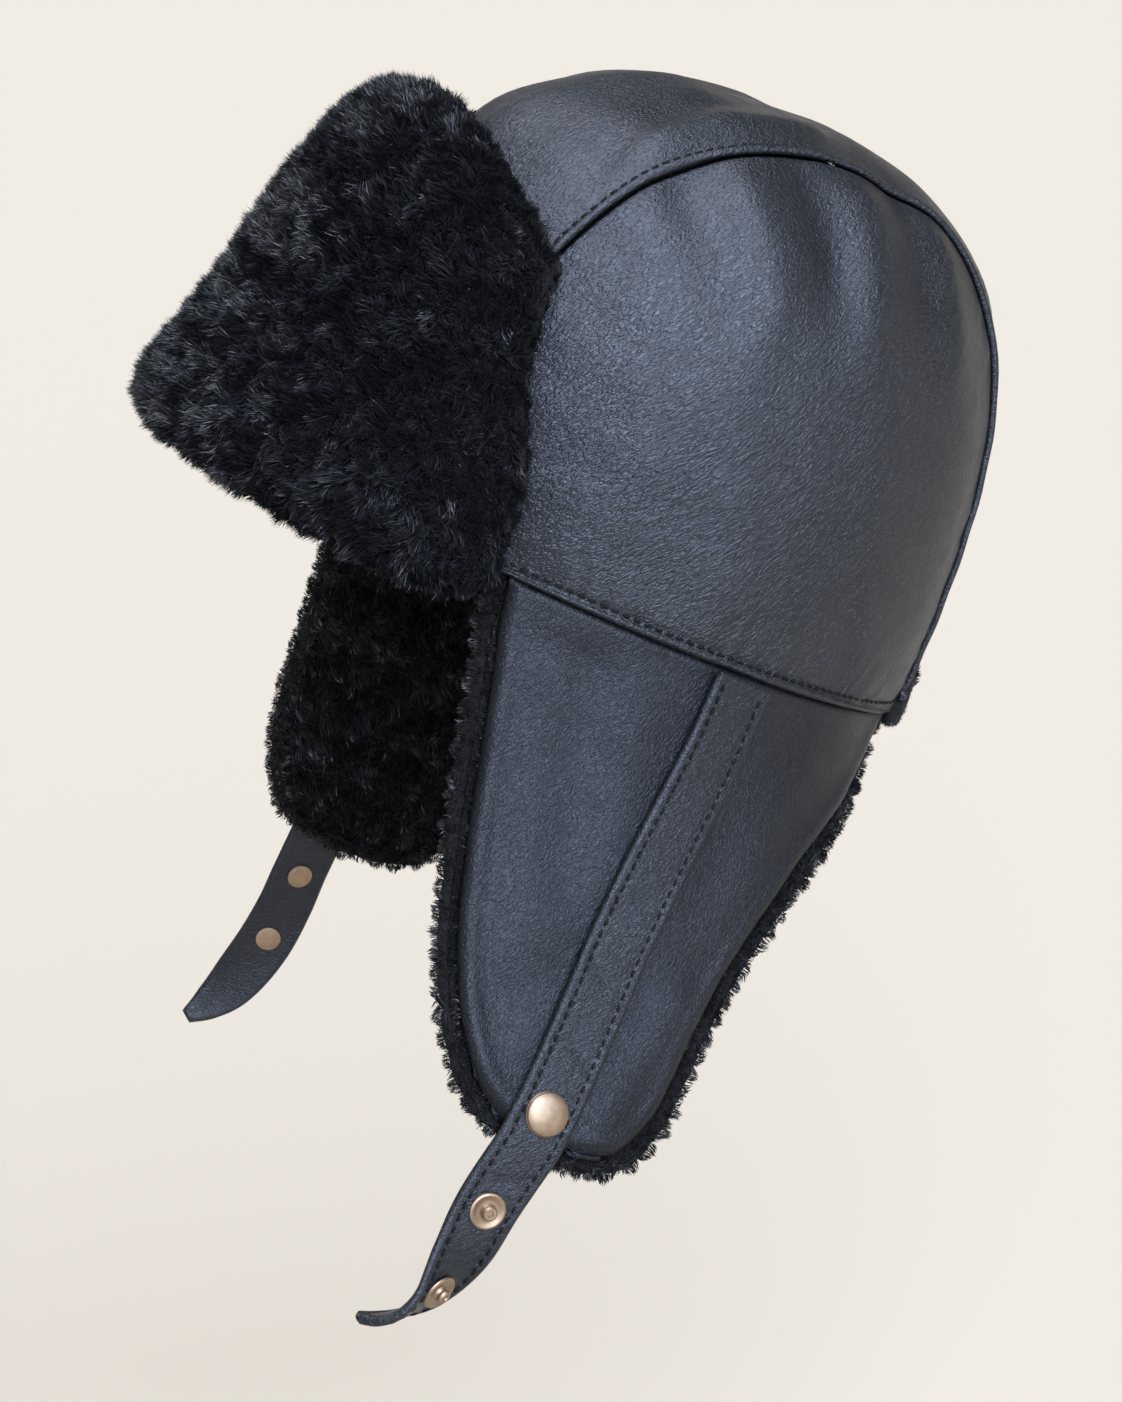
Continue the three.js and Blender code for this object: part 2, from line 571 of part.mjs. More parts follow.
function frontFur() {
  const backing = LEATHER / 2 + LINING_GAP;
  const skin = (full) =>
    grid(packed(FRONT_FUR_COLUMNS), packed(FRONT_FUR_ROWS), (u, v) => {
      const across = 2 * u - 1;
      const lock = LOCK_HEIGHT * locks(u, v, FRONT_LOCKS_ACROSS, FRONT_LOCKS_DOWN);
      const depth = read(FRONT_FUR, "depth", v) * FRONT_FUR_DEPTH + lock;
      const pile = full ? rounded(u) * rounded(v) * depth : 0;
      const point = frontPlace(across, lerp(FRONT_FUR_START, 1, v), backing, pile);
      const lean = (pile / FRONT_FUR_DEPTH) * FRONT_FUR_OVERHANG;
      point.z += lean * (2 * v - 1);
      point.x += lean * across;
      return point;
    });
  return closedShell(skin(true), skin(false));
}

// The strap's course, with its rows numbered evenly from its sewn end (0) to its tip (1)
const strapCourse = (side) =>
  [...STRAP, ...STRAP_END[side]].map((row, k, rows) => ({ along: k / (rows.length - 1), ...row }));
const STRAP_COURSE = { left: strapCourse("left"), right: strapCourse("right") };
const COURSE_STEP = 0.01; // over which the strap's direction is measured
const HALVINGS = 30;
const STRAP_STEPS = 26;

// Strap centre line and the way that its face looks, at a place along its course
function strapFrame(place, side) {
  const course = STRAP_COURSE[side];
  const ground = (t) => [read(course, "back", t) * STRAP_LENGTH, read(course, "down", t) * STRAP_LENGTH];
  const height = STRAP_THICKNESS / 2 + STRAP_CLEARANCE;
  const spot = (t) => flapPoint(...ground(t), height, side);
  const center = spot(place);
  const ahead = spot(Math.min(place + COURSE_STEP, 1));
  const along = ahead.sub(spot(Math.max(place - COURSE_STEP, 0))).normalize();
  const straight = flapPoint(...ground(place), height + 1, side).sub(center);
  straight.addScaledVector(along, -straight.dot(along)).normalize();
  const face = straight.applyAxisAngle(along, -rad(STRAP_TWIST) * Math.max(read(course, "turn", place), 0));
  const across = along.clone().cross(face);
  return { center, face, across, half: (read(course, "wide", place) * STRAP_WIDTH) / 2 };
}

// Place along the strap's course whose drop is the given share
function strapPlace(down, side) {
  let low = 0;
  let high = 1;
  for (let k = 0; k < HALVINGS; k += 1) {
    const middle = (low + high) / 2;
    if (read(STRAP_COURSE[side], "down", middle) < down) low = middle;
    else high = middle;
  }
  return low;
}

function strapBody(side) {
  const skin = (way) =>
    grid(even(STRAP_STEPS), STRAP_SECTION, (t, row) => {
      const { center, face, across, half } = strapFrame(t, side);
      const thick = (STRAP_THICKNESS / 2) * row.thick * way;
      center.addScaledVector(across, row.across * half).addScaledVector(face, thick);
      return mirrored(center, HAND[side]);
    });
  return closedShell(skin(1), skin(-1));
}

// Boolean solids
function solid(geometry) {
  const bare = geometry.clone();
  bare.deleteAttribute("normal");
  bare.deleteAttribute("uv");
  const merged = mergeVertices(bare, WELD);
  const vertProperties = new Float32Array(merged.attributes.position.array);
  const triVerts = new Uint32Array(merged.index.array);
  return new wasm.Manifold(new wasm.Mesh({ numProp: 3, vertProperties, triVerts }));
}

function geometryOf(body) {
  const { numProp, vertProperties, triVerts } = body.getMesh();
  const geometry = new THREE.BufferGeometry();
  geometry.setAttribute("position", new THREE.BufferAttribute(new Float32Array(vertProperties), numProp));
  return geometry.setIndex(Array.from(triVerts));
}

// Snap seats: where each snap meets the strap's middle, and the turn from its own axis to the strap's face
function snapSeat(place, side) {
  const { center, face } = strapFrame(strapPlace(place, side), side);
  const axis = new THREE.Vector3(0, 1, 0);
  const turn = new THREE.Quaternion().setFromUnitVectors(axis, mirrored(face, HAND[side]));
  return { position: mirrored(center, HAND[side]), quaternion: turn };
}

const SNAP_SIDES = 12;
const SNAP_PLACES = [CAP_PLACE, UPPER_STUD_PLACE, LOWER_STUD_PLACE];

function strap(side) {
  let body = solid(strapBody(side));
  for (const place of SNAP_PLACES) {
    const seat = snapSeat(place, side);
    const radius = SNAP_SHANK_DIAMETER / 2 + GAP;
    const bore = new THREE.CylinderGeometry(radius, radius, STRAP_THICKNESS * 2, SNAP_SIDES);
    bore.applyQuaternion(seat.quaternion).translate(...seat.position);
    body = body.subtract(solid(bore));
  }
  return geometryOf(body);
}

const lathe = (profile) =>
  new THREE.LatheGeometry(profile.map(([radius, height]) => new THREE.Vector2(radius, height)), SNAP_SIDES);

const SHANK = SNAP_SHANK_DIAMETER / 2;
const FOOT = STRAP_THICKNESS / 2 + SNAP_CLEARANCE; // from the middle of the strap
const CAP_SHANK_END = -STRAP_THICKNESS / 4;

function snapCap() {
  const radius = SNAP_CAP_DIAMETER / 2;
  const round = (share) => Math.sqrt(Math.max(1 - share ** CAP_ROUND, 0));
  const dome = CAP_DOME.map((share) => [
    radius * share,
    FOOT + SNAP_RIM + (SNAP_CAP_HEIGHT - SNAP_RIM) * round(share),
  ]);
  return lathe([[0, CAP_SHANK_END], [SHANK, CAP_SHANK_END], [SHANK, FOOT], [radius, FOOT], ...dome]);
}

function snapStud() {
  const radius = SNAP_STUD_DIAMETER / 2;
  const post = SNAP_POST_DIAMETER / 2;
  return lathe([
    ...STUD_BACK.map((row) => [radius * row.radius, -FOOT - row.below]),
    [SHANK, -FOOT],
    [SHANK, FOOT],
    ...STUD_FLANGE.map((row) => [radius * row.radius, FOOT + row.above]),
    ...STUD_POST.map((row) => [post * row.radius, FOOT + SNAP_POST_HEIGHT * row.up]),
  ]);
}

// Materials
const leather = (color, roughness = 0.5) =>
  new THREE.MeshStandardMaterial({ color, roughness, metalness: 0, flatShading: true });
const fur = () =>
  new THREE.MeshStandardMaterial({ color: "#141519", roughness: 0.95, metalness: 0, flatShading: true });
const nickel = () => new THREE.MeshStandardMaterial({ color: "#cfc4b6", roughness: 0.3, metalness: 1 });

const hat = new THREE.Group();
hat.rotation.x = -rad(PITCH);

function add(name, geometry, material) {
  const mesh = new THREE.Mesh(geometry, material);
  mesh.name = name;
  hat.add(mesh);
  return mesh;
}

add("crown_center_panel", centerPanel(), leather("#2f343d"));
add("crown_lining", crownLining(), fur());
add("nape_fur_band", napeBand(), fur());
add("front_flap_leather", frontFlap(), leather("#2a2e35"));
add("front_flap_fur", frontFur(), fur());

for (const side of ["left", "right"]) {
  add(`crown_side_panel_${side}`, sidePanel(side), leather("#30353f"));
  add(`ear_flap_${side}`, earFlap(side), leather("#30353f"));
  add(`ear_flap_lining_${side}`, earLining(side), fur());
  add(`strap_${side}`, strap(side), leather("#2c3138", 0.45));
  const snaps = [
    [`snap_cap_${side}`, snapCap(), CAP_PLACE],
    [`snap_stud_upper_${side}`, snapStud(), UPPER_STUD_PLACE],
    [`snap_stud_lower_${side}`, snapStud(), LOWER_STUD_PLACE],
  ];
  for (const [name, geometry, place] of snaps) {
    const seat = snapSeat(place, side);
    const snap = add(name, geometry, nickel());
    snap.position.copy(seat.position);
    snap.quaternion.copy(seat.quaternion);
  }
}

export default hat;
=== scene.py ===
import math

import bpy
import numpy as np
from mathutils import Matrix, Vector, kdtree


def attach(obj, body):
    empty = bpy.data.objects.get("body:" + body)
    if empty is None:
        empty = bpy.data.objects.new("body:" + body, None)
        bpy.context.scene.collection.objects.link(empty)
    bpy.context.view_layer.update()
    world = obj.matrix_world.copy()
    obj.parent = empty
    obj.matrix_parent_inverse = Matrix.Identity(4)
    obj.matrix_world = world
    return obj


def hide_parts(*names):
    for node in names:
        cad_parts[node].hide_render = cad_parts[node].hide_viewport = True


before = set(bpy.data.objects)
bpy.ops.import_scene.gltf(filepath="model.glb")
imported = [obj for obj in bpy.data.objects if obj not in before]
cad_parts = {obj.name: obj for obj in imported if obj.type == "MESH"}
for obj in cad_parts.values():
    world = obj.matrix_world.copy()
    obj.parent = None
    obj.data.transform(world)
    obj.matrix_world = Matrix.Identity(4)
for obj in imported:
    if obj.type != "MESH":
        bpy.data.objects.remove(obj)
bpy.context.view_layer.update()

# Crown panels
# Three pieces of soft nappa leather, 1.6 mm thick, sewn edge to edge: a strip from brow to nape and a panel
# on each side, gathered under the seam. The strip's turned edge stands up as a ridge beside a topstitch.
# Each is a grid laid on the crown's form, with the leather's thickness put on by a solidify modifier.
MM = 0.001
PITCH = math.radians(27)
CROWN_HALF_WIDTH = 89 * MM
CROWN_HALF_LENGTH = 112 * MM
CROWN_HEIGHT = 154 * MM
CROWN_FULLNESS = 2.73
CROWN_ARC = CROWN_HALF_WIDTH + CROWN_HEIGHT * 0.7
LEATHER = 1.6 * MM
GAP = 0.4 * MM
FOLD_DEPTH = 2.4 * MM
NAPE_RISE = 21 * MM
NAPE_START = math.radians(151)
NAPE_TOP = math.radians(164)
HAND = {"left": 1, "right": -1}

# Half-width of the strip, as a share of the brow-to-crown arc, from brow (1) to nape (-1)
SEAM = {
    "along": (1, 0.75, 0.55, 0.35, 0.15, -0.05, -0.3, -0.5, -0.75, -1),
    "half": (0.64, 0.54, 0.447, 0.378, 0.33, 0.283, 0.245, 0.275, 0.38, 0.43),
}

# Folds from one place to another on the crown seen from above: side is 1 at the side edge, front is 1 at
# the brow, and width and height are shares of the arc and of the deepest fold
FOLD_COLUMNS = ("side", "front", "to_side", "to_front", "width", "height")
CROWN_FOLDS = [
    (0.4, 0.27, 0.58, 0.15, 0.05, -0.9),
    (0.42, 0.17, 0.56, 0.1, 0.055, 0.9),
    (0.37, 0.055, 0.5, -0.01, 0.04, -1),
    (0.36, -0.05, 0.54, -0.11, 0.05, 0.9),
    (0.27, -0.12, 0.42, -0.21, 0.045, -0.8),
    (0.3, -0.22, 0.44, -0.32, 0.045, 0.6),
    (0.84, 0.34, 0.64, 0.14, 0.1, 0.35),
    (0.78, -0.36, 0.8, -0.52, 0.03, -0.45),
    (0.3, 0.34, 0.19, 0.04, 0.045, 0.85),
    (0.31, 0.4, 0.15, 0.22, 0.035, -0.7),
    (0.12, 0.36, 0.1, 0.16, 0.13, -0.7),
    (0.04, 0.54, 0.04, 0.5, 0.09, 1),
    (0.1, -0.12, 0.12, -0.4, 0.12, 0.8),
]


def smooth(value, low, high):
    t = np.clip((value - low) / (high - low), 0, 1)
    return t * t * (3 - 2 * t)


def read(table, column, at):
    """Smooth value of one table column at a place in its first column."""
    keys = np.array(next(iter(table.values())), float)
    values = np.array(table[column], float)
    if keys[0] > keys[-1]:
        keys, values = keys[::-1], values[::-1]
    before = np.maximum(np.arange(len(keys)) - 1, 0)
    after = np.minimum(np.arange(len(keys)) + 1, len(keys) - 1)
    slope = (values[after] - values[before]) / (keys[after] - keys[before])
    i = np.clip(np.searchsorted(keys, at, side="right") - 1, 0, len(keys) - 2)
    span = keys[i + 1] - keys[i]
    t = np.clip((at - keys[i]) / span, 0, 1)
    start = values[i] * (1 + 2 * t) * (1 - t) ** 2 + slope[i] * span * t * (1 - t) ** 2
    end = values[i + 1] * (3 - 2 * t) * t**2 + slope[i + 1] * span * (t - 1) * t**2
    return start + end


def folds(table, side, front):
    height = 0 * side
    for row in table:
        fold = dict(zip(FOLD_COLUMNS, row))
        run = (fold["to_side"] - fold["side"], fold["to_front"] - fold["front"])
        left, ahead = side - fold["side"], front - fold["front"]
        t = np.clip((left * run[0] + ahead * run[1]) / (run[0] ** 2 + run[1] ** 2), 0, 1)
        away = np.hypot(left - run[0] * t, ahead - run[1] * t) / fold["width"]
        height = height + fold["height"] * FOLD_DEPTH * np.exp(-away * away)
    return height


def tipped(points):
    """From the hat's own upright frame to the way that it is worn, tipped back."""
    c, s = math.cos(PITCH), math.sin(PITCH)
    x, y, z = points[..., 0], points[..., 1], points[..., 2]
    return np.stack([x, y * c + z * s, z * c - y * s], -1)


def unit(vectors):
    return vectors / np.maximum(np.linalg.norm(vectors, axis=-1, keepdims=True), 1e-12)


def crown_point(side, front, offset):
    """Crown surface, pushed out by offset: side and front place a point on it seen from above."""
    reach, around = np.hypot(side, front), np.arctan2(side, front)
    angle = np.minimum(reach, 1) * math.pi / 2
    n = CROWN_FULLNESS
    size = (np.sin(angle) ** n + np.maximum(np.cos(angle), 0) ** n) ** (1 / n)
    ring, up = np.sin(angle) / size, np.maximum(np.cos(angle), 0) / size
    below = np.maximum(reach - 1, 0) * math.pi / 2
    point = np.stack([CROWN_HALF_WIDTH * ring * np.sin(around), -CROWN_HALF_LENGTH * ring * np.cos(around),
                      CROWN_HEIGHT * (up - below)], -1)
    pull = np.maximum(ring, 1e-9) ** (n - 2)
    normal = unit(np.stack([pull * point[..., 0] / CROWN_HALF_WIDTH**2,
                            pull * point[..., 1] / CROWN_HALF_LENGTH**2, up ** (n - 1) / CROWN_HEIGHT], -1))
    return point + normal * np.asarray(offset)[..., None]


def crown_outward(side, front):
    return crown_point(side, front, 1.0) - crown_point(side, front, 0.0)


def nape_share(side, front):
    around = np.abs(np.arctan2(side, front))
    rise = NAPE_RISE * smooth(around, NAPE_START, NAPE_TOP)
    return (2 / math.pi) * np.arcsin(rise / CROWN_HEIGHT)


def trimmed(side, front):
    """Pulls a place on the brow line up to the leather edge."""
    reach = np.hypot(side, front)
    keep = np.minimum(1, 1 - nape_share(side, front) * smooth(reach, 0.75, 1))
    return side * keep, front * keep


def undulation(points):
    """Slow unevenness of soft leather, up to 0.4 mm before a piece scales it by its wear."""
    x, y, z = (points[..., k] / MM for k in range(3))
    slow = np.sin(x / 13 + 1.3 * np.sin(y / 21)) * np.sin(y / 15 + z / 19 + 0.7)
    fast = np.sin(y / 7.3 + z / 5.1 + np.sin(x / 9)) * np.sin(z / 8.2 - y / 11 + 2)
    return (0.28 * slow + 0.13 * fast) * MM


def crowded(shares, pull=0.86):
    """Even shares, crowded towards both ends."""
    return shares - pull * np.sin(2 * math.pi * shares) / (2 * math.pi)


def shaped_grid(name, columns, rows, place):
    """A grid shaped by place, which takes shares across and along it."""
    bpy.ops.object.select_all(action="DESELECT")
    bpy.ops.mesh.primitive_grid_add(x_subdivisions=columns, y_subdivisions=rows, size=1)
    piece = bpy.context.object
    piece.name = piece.data.name = name
    flat = np.empty(len(piece.data.vertices) * 3)
    piece.data.vertices.foreach_get("co", flat)
    u, v = flat[0::3] + 0.5, flat[1::3] + 0.5
    piece.data.vertices.foreach_set("co", tipped(place(u, v)).ravel())
    piece.data.update()
    return piece


def leather_sheet(name, columns, rows, place, inside):
    """A shaped grid with the leather's thickness put on inwards, where inside is a point behind it."""
    piece = shaped_grid(name, columns, rows, place)
    out = sum((f.center - Vector(inside)).dot(f.normal) * f.area for f in piece.data.polygons)
    bpy.ops.object.mode_set(mode="EDIT")
    bpy.ops.mesh.select_all(action="SELECT")
    if out < 0:
        bpy.ops.mesh.flip_normals()
    bpy.ops.mesh.remove_doubles(threshold=0.00001)
    bpy.ops.object.mode_set(mode="OBJECT")
    wall = piece.modifiers.new("wall", "SOLIDIFY")
    wall.thickness = LEATHER
    wall.offset = -1
    wall.use_quality_normals = True
    bpy.ops.object.modifier_apply(modifier=wall.name)
    bpy.ops.object.shade_smooth()
    return piece


RIDGE = 1.8 * MM
RIDGE_STITCH = 4.5 * MM
GROOVE = 0.5 * MM
BROW_RIDGE = RIDGE * 0.6
BROW_STITCH = 2.9 * MM
TUCK = 1.9 * MM
PUCKER_HEIGHT = 0.6 * MM
PUCKER_STEP = 9 * MM
BROW_PUCKERS = 9 * MM
SEAM_PUCKERS = 12 * MM
CROWN_WEAR = 2


def tuck(away, radius=TUCK):
    """How far a turned edge curls in, at a distance from the edge."""
    near = np.clip(1 - away / radius, 0, 1)
    return -radius * (1 - np.sqrt(1 - near * near))


def ridge(away, height, stitch):
    groove = GROOVE * np.exp(-((away - stitch) / (0.8 * MM)) ** 2)
    return height * (1 - smooth(away, 0.5 * stitch, stitch)) - groove


def puckers(along, away, reach):
    """Small uneven gathers where a seam draws the leather in, that fade away from the seam."""
    course = along / PUCKER_STEP * 2 * math.pi
    wave = np.sin(course + 1.3 * np.sin(course / 2.7)) * (0.6 + 0.4 * np.sin(course / 5.3))
    return PUCKER_HEIGHT * wave * np.exp(-away / reach) * smooth(away, 1 * MM, 4 * MM)


def seam_half(along):
    return read(SEAM, "half", along)


def front_at(side, along):
    return along * np.sqrt(np.maximum(1 - side * side, 0))


def crown_skin(side, front, lift):
    base = crown_point(side, front, folds(CROWN_FOLDS, np.abs(side), front) + lift)
    soft = undulation(base) * smooth(np.hypot(side, front), 1.0, 0.93)
    return base + crown_outward(side, front) * CROWN_WEAR * soft[..., None]


def center_panel_place(u, v):
    along = np.cos(u * math.pi)
    half = seam_half(along) - GAP / 2 / CROWN_ARC
    share = 2 * crowded(v) - 1
    side = half * share
    away = half * (1 - np.abs(share)) * CROWN_ARC
    end = (1 - np.abs(along)) * CROWN_ARC
    lift = ridge(away, RIDGE, RIDGE_STITCH) + tuck(away) + ridge(end, BROW_RIDGE, BROW_STITCH)
    return crown_skin(*trimmed(side, front_at(side, along)), lift)


def side_panel_place(side):
    brow_start, brow_end = math.asin(seam_half(1.0)), math.pi - math.asin(seam_half(-1.0))

    def place(u, v):
        along, share = np.cos(u * math.pi), crowded(v)
        half = seam_half(along) + GAP / 2 / CROWN_ARC
        around = brow_start + (brow_end - brow_start) * u
        across = np.sin(around) * (1 - share) + half * share
        front = np.cos(around) * (1 - share) + front_at(half, along) * share
        up = np.hypot(np.sin(around) - across, np.cos(around) - front) * CROWN_ARC
        down = np.hypot(half - across, front_at(half, along) - front) * CROWN_ARC
        lift = ridge(up, BROW_RIDGE, BROW_STITCH) * np.sin(u * math.pi) ** 0.3 + tuck(up) + tuck(down) * 0.6
        lift = lift + puckers(around * CROWN_HALF_LENGTH, up, BROW_PUCKERS)
        lift = lift + puckers(along * CROWN_ARC, down, SEAM_PUCKERS)
        cut_side, cut_front = trimmed(across, front)
        return crown_skin(HAND[side] * cut_side, cut_front, lift)

    return place


def linear(code):
    """Linear colour of an sRGB hex code."""
    channels = [int(code[k:k + 2], 16) / 255 for k in (1, 3, 5)]
    return [c / 12.92 if c <= 0.04045 else ((c + 0.055) / 1.055) ** 2.4 for c in channels] + [1]


def plug(material, made, **links):
    """Fills a node's inputs, by name or by number after an underscore, with values or other sockets."""
    for key, value in links.items():
        socket = made.inputs[int(key[1:])] if key[1:].isdigit() else made.inputs[key.replace("_", " ")]
        if isinstance(value, bpy.types.NodeSocket):
            material.node_tree.links.new(value, socket)
        else:
            socket.default_value = value


def node(material, kind, settings=(), **links):
    """Adds a node with its settings by name and its inputs as plug takes them."""
    made = material.node_tree.nodes.new(kind)
    for key, value in dict(settings).items():
        setattr(made, key, value)
    plug(material, made, **links)
    return made


def blank(name):
    material = bpy.data.materials.new(name)
    material.use_nodes = True
    return material, material.node_tree.nodes["Principled BSDF"]


def ramp(material, factor, stops):
    made = node(material, "ShaderNodeValToRGB", Fac=factor)
    for k, (place, colour) in enumerate(stops):
        stop = made.color_ramp.elements[k] if k < 2 else made.color_ramp.elements.new(place)
        stop.position, stop.color = place, colour
    return made


def grey(level):
    return (level, level, level, 1)


def nappa(name, dark, light, slope, grain=1.1 * MM, stretch=3, depth=0.38, gloss=0.48):
    """Aniline nappa: fine creases that run up a slope in degrees, pores between them with painted shade in
    their grooves, a soft satin face.
    """
    material, shader = blank(name)
    coords = node(material, "ShaderNodeTexCoord").outputs["Object"]
    drawn = node(material, "ShaderNodeMapping", {"vector_type": "TEXTURE"}, Vector=coords,
                 Rotation=(math.radians(slope), 0, 0), Scale=(grain, grain, grain * stretch))
    creases = node(material, "ShaderNodeTexNoise", {"noise_dimensions": "3D"}, Vector=drawn.outputs[0],
                   Scale=0.62, Detail=3, Roughness=0.5, Distortion=0.6)
    crease = ramp(material, creases.outputs["Fac"], [(0.38, grey(1)), (0.62, grey(1)), (0.5, grey(0))])
    pores = node(material, "ShaderNodeTexVoronoi", {"feature": "DISTANCE_TO_EDGE"}, Vector=drawn.outputs[0],
                 Scale=1.35, Randomness=1)
    pore = ramp(material, pores.outputs["Distance"], [(0, grey(0)), (0.16, grey(1))])
    patches = node(material, "ShaderNodeTexNoise", Vector=coords, Scale=1 / (34 * MM), Detail=3,
                   Roughness=0.6)
    wear = node(material, "ShaderNodeTexNoise", Vector=coords, Scale=1 / (7 * MM), Detail=4, Roughness=0.6)
    tone = ramp(material, patches.outputs["Fac"], [(0.3, linear(dark)), (0.72, linear(light))])
    # Painted shade: the base colour is darkened along the grain's grooves, where the pore bump is lowest.
    deep = node(material, "ShaderNodeMix", {"data_type": "RGBA", "blend_type": "MULTIPLY"}, _0=0.35,
                _6=tone.outputs["Color"], _7=pore.outputs["Color"])
    rough = ramp(material, wear.outputs["Fac"], [(0.3, grey(0.33)), (0.75, grey(0.46))])
    low = node(material, "ShaderNodeBump", Strength=depth * 1.4, Distance=0.3 * MM,
               Height=crease.outputs["Color"])
    high = node(material, "ShaderNodeBump", Strength=depth, Distance=0.25 * MM,
                Height=pore.outputs["Color"], Normal=low.outputs[0])
    plug(material, shader, Base_Color=deep.outputs[2], Roughness=rough.outputs["Color"], IOR=1.5,
         Specular_IOR_Level=gloss, Specular_Tint=linear("#eaf0ff"), Normal=high.outputs[0])
    return material


def dress(piece, material, slot, *nodes):
    piece.data.materials.clear()
    piece.data.materials.append(material)
    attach(piece, "root")
    if nodes:
        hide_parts(*nodes)


CROWN_INSIDE = tuple(tipped(np.array([0, 0, 30 * MM])))
crown_leather = nappa("nappa_leather_crown", "#0e1012", "#181a1d", -62)
center = leather_sheet("center_panel_leather", 150, 44, center_panel_place, CROWN_INSIDE)
dress(center, crown_leather, "crown_leather", "crown_center_panel")
for side in HAND:
    panel = leather_sheet(f"side_panel_leather_{side}", 132, 52, side_panel_place(side), CROWN_INSIDE)
    dress(panel, crown_leather, "crown_leather", f"crown_side_panel_{side}")

# Crown stitches
# Bonded polyester thread in stitches 3.7 mm apart: one row on the strip beside each seam ridge, and one above
# the turned lower edge of the panels, from the front flap round to the nape. One stitch is copied along both.
STITCH_STEP = 3.7 * MM
STITCH_LIFT = 0.2 * MM
STITCH_LENGTH = 2.6 * MM
STITCH_RADIUS = 0.5 * MM
STITCH_SLANT = 0.09
BROW_ROW = (math.radians(28), math.radians(332))


def run_length(line):
    """Distance gone at each point of a line of points."""
    return np.concatenate([[0], np.cumsum(np.linalg.norm(np.diff(line, axis=0), axis=1))])


def read_line(at, gone, line):
    return np.stack([np.interp(at, gone, line[:, k]) for k in range(line.shape[1])], -1)


def even_frames(points, normals, step):
    """Places, directions and normals at even steps along a line of points."""
    gone = run_length(points)
    at = np.arange(step / 2, gone[-1], step)
    along = read_line(at + step * 0.1, gone, points) - read_line(at - step * 0.1, gone, points)
    return read_line(at, gone, points), unit(along), unit(read_line(at, gone, normals))


def linked(name, mesh):
    mesh.shade_smooth()
    piece = bpy.data.objects.new(name, mesh)
    bpy.context.scene.collection.objects.link(piece)
    return piece


def stitched(name, runs, material, slot):
    """One stitch, a small rounded bar, copied along each run of (points, normals) into one mesh."""
    bpy.ops.object.select_all(action="DESELECT")
    bpy.ops.mesh.primitive_uv_sphere_add(segments=6, ring_count=4, radius=1, rotation=(0, math.pi / 2, 0))
    model = bpy.context.object
    bpy.ops.object.transform_apply(rotation=True)
    bar = np.array([v.co for v in model.data.vertices]) * (STITCH_LENGTH / 2, STITCH_RADIUS, STITCH_RADIUS)
    faces = [tuple(f.vertices) for f in model.data.polygons]
    bpy.data.objects.remove(model)
    points, polygons, count = [], [], 0
    for line, normals in runs:
        spot, along, up = even_frames(line, normals, STITCH_STEP)
        across = unit(np.cross(up, along))
        up = np.cross(along, across)
        for k in range(len(spot)):
            slant = STITCH_SLANT * math.sin(k * 2.4)
            ahead = along[k] + across[k] * slant
            points.append(spot[k] + bar[:, :1] * ahead + bar[:, 1:2] * across[k] + bar[:, 2:] * up[k])
            polygons += [tuple(i + count for i in f) for f in faces]
            count += len(bar)
    mesh = bpy.data.meshes.new(name)
    mesh.from_pydata(np.concatenate(points).tolist(), [], polygons)
    dress(linked(name, mesh), material, slot)


def thread(name, colour):
    """Bonded polyester thread: dark and nearly matt, with a slight change of tone along the twist."""
    material, shader = blank(name)
    coords = node(material, "ShaderNodeTexCoord").outputs["Object"]
    twist = node(material, "ShaderNodeTexWave", {"bands_direction": "DIAGONAL"}, Vector=coords,
                 Scale=1 / (1.1 * MM), Distortion=1.5, Detail=1)
    tone = ramp(material, twist.outputs["Color"], [(0, linear("#050506")), (1, linear(colour))])
    plug(material, shader, Base_Color=tone.outputs["Color"], Roughness=0.6, Specular_IOR_Level=0.15)
    return material


black_thread = thread("polyester_thread", "#101114")


def crown_run(side, front, lift):
    side, front = trimmed(side, front)
    return tipped(crown_skin(side, front, lift)), tipped(crown_outward(side, front))


crown_runs = []
for hand in HAND.values():
    along = np.cos(np.linspace(0.12, 0.995, 500) * math.pi)
    beside = seam_half(along) - RIDGE_STITCH / CROWN_ARC
    crown_runs.append(crown_run(hand * beside, front_at(beside, along), STITCH_LIFT + 0 * along))
around = np.linspace(*BROW_ROW, 900)
above = 1 - BROW_STITCH / CROWN_ARC
crown_runs.append(crown_run(above * np.sin(around), above * np.cos(around), STITCH_LIFT + 0 * around))
stitched("crown_stitches", crown_runs, black_thread, "crown_leather")

# Ear flap leather
# One piece of the same nappa on each side, cut to a long tapering tongue and sewn under the crown's lower
# edge. Its cut edge is rolled round to the fur, with small puckers where the seam draws it in. It is made as
# the crown's panels are.
EAR_FLAP_LENGTH = 144 * MM
EAR_FLAP_WIDTH = 151 * MM
EAR_FLAP_FRONT = CROWN_HALF_LENGTH - 58 * MM
EAR_FLAP_HANG = {"left": (18, 0), "right": (30, 9)}  # flare and sway, in degrees
EAR_FLAP_INSET = 1 * MM
FRONT_FRINGE = 0.4
BACK_FRINGE = 1.3
FREE_LEAN = 0.3
EAR_FLAP = {
    "down": (0, 0.1, 0.2, 0.3, 0.43, 0.55, 0.68, 0.8, 0.89, 0.95, 0.985, 1),
    "front": (0, 0.016, 0.04, 0.06, 0.085, 0.11, 0.14, 0.185, 0.235, 0.29, 0.36, 0.47),
    "back": (1, 0.965, 0.905, 0.83, 0.76, 0.715, 0.685, 0.668, 0.65, 0.618, 0.57, 0.47),
}
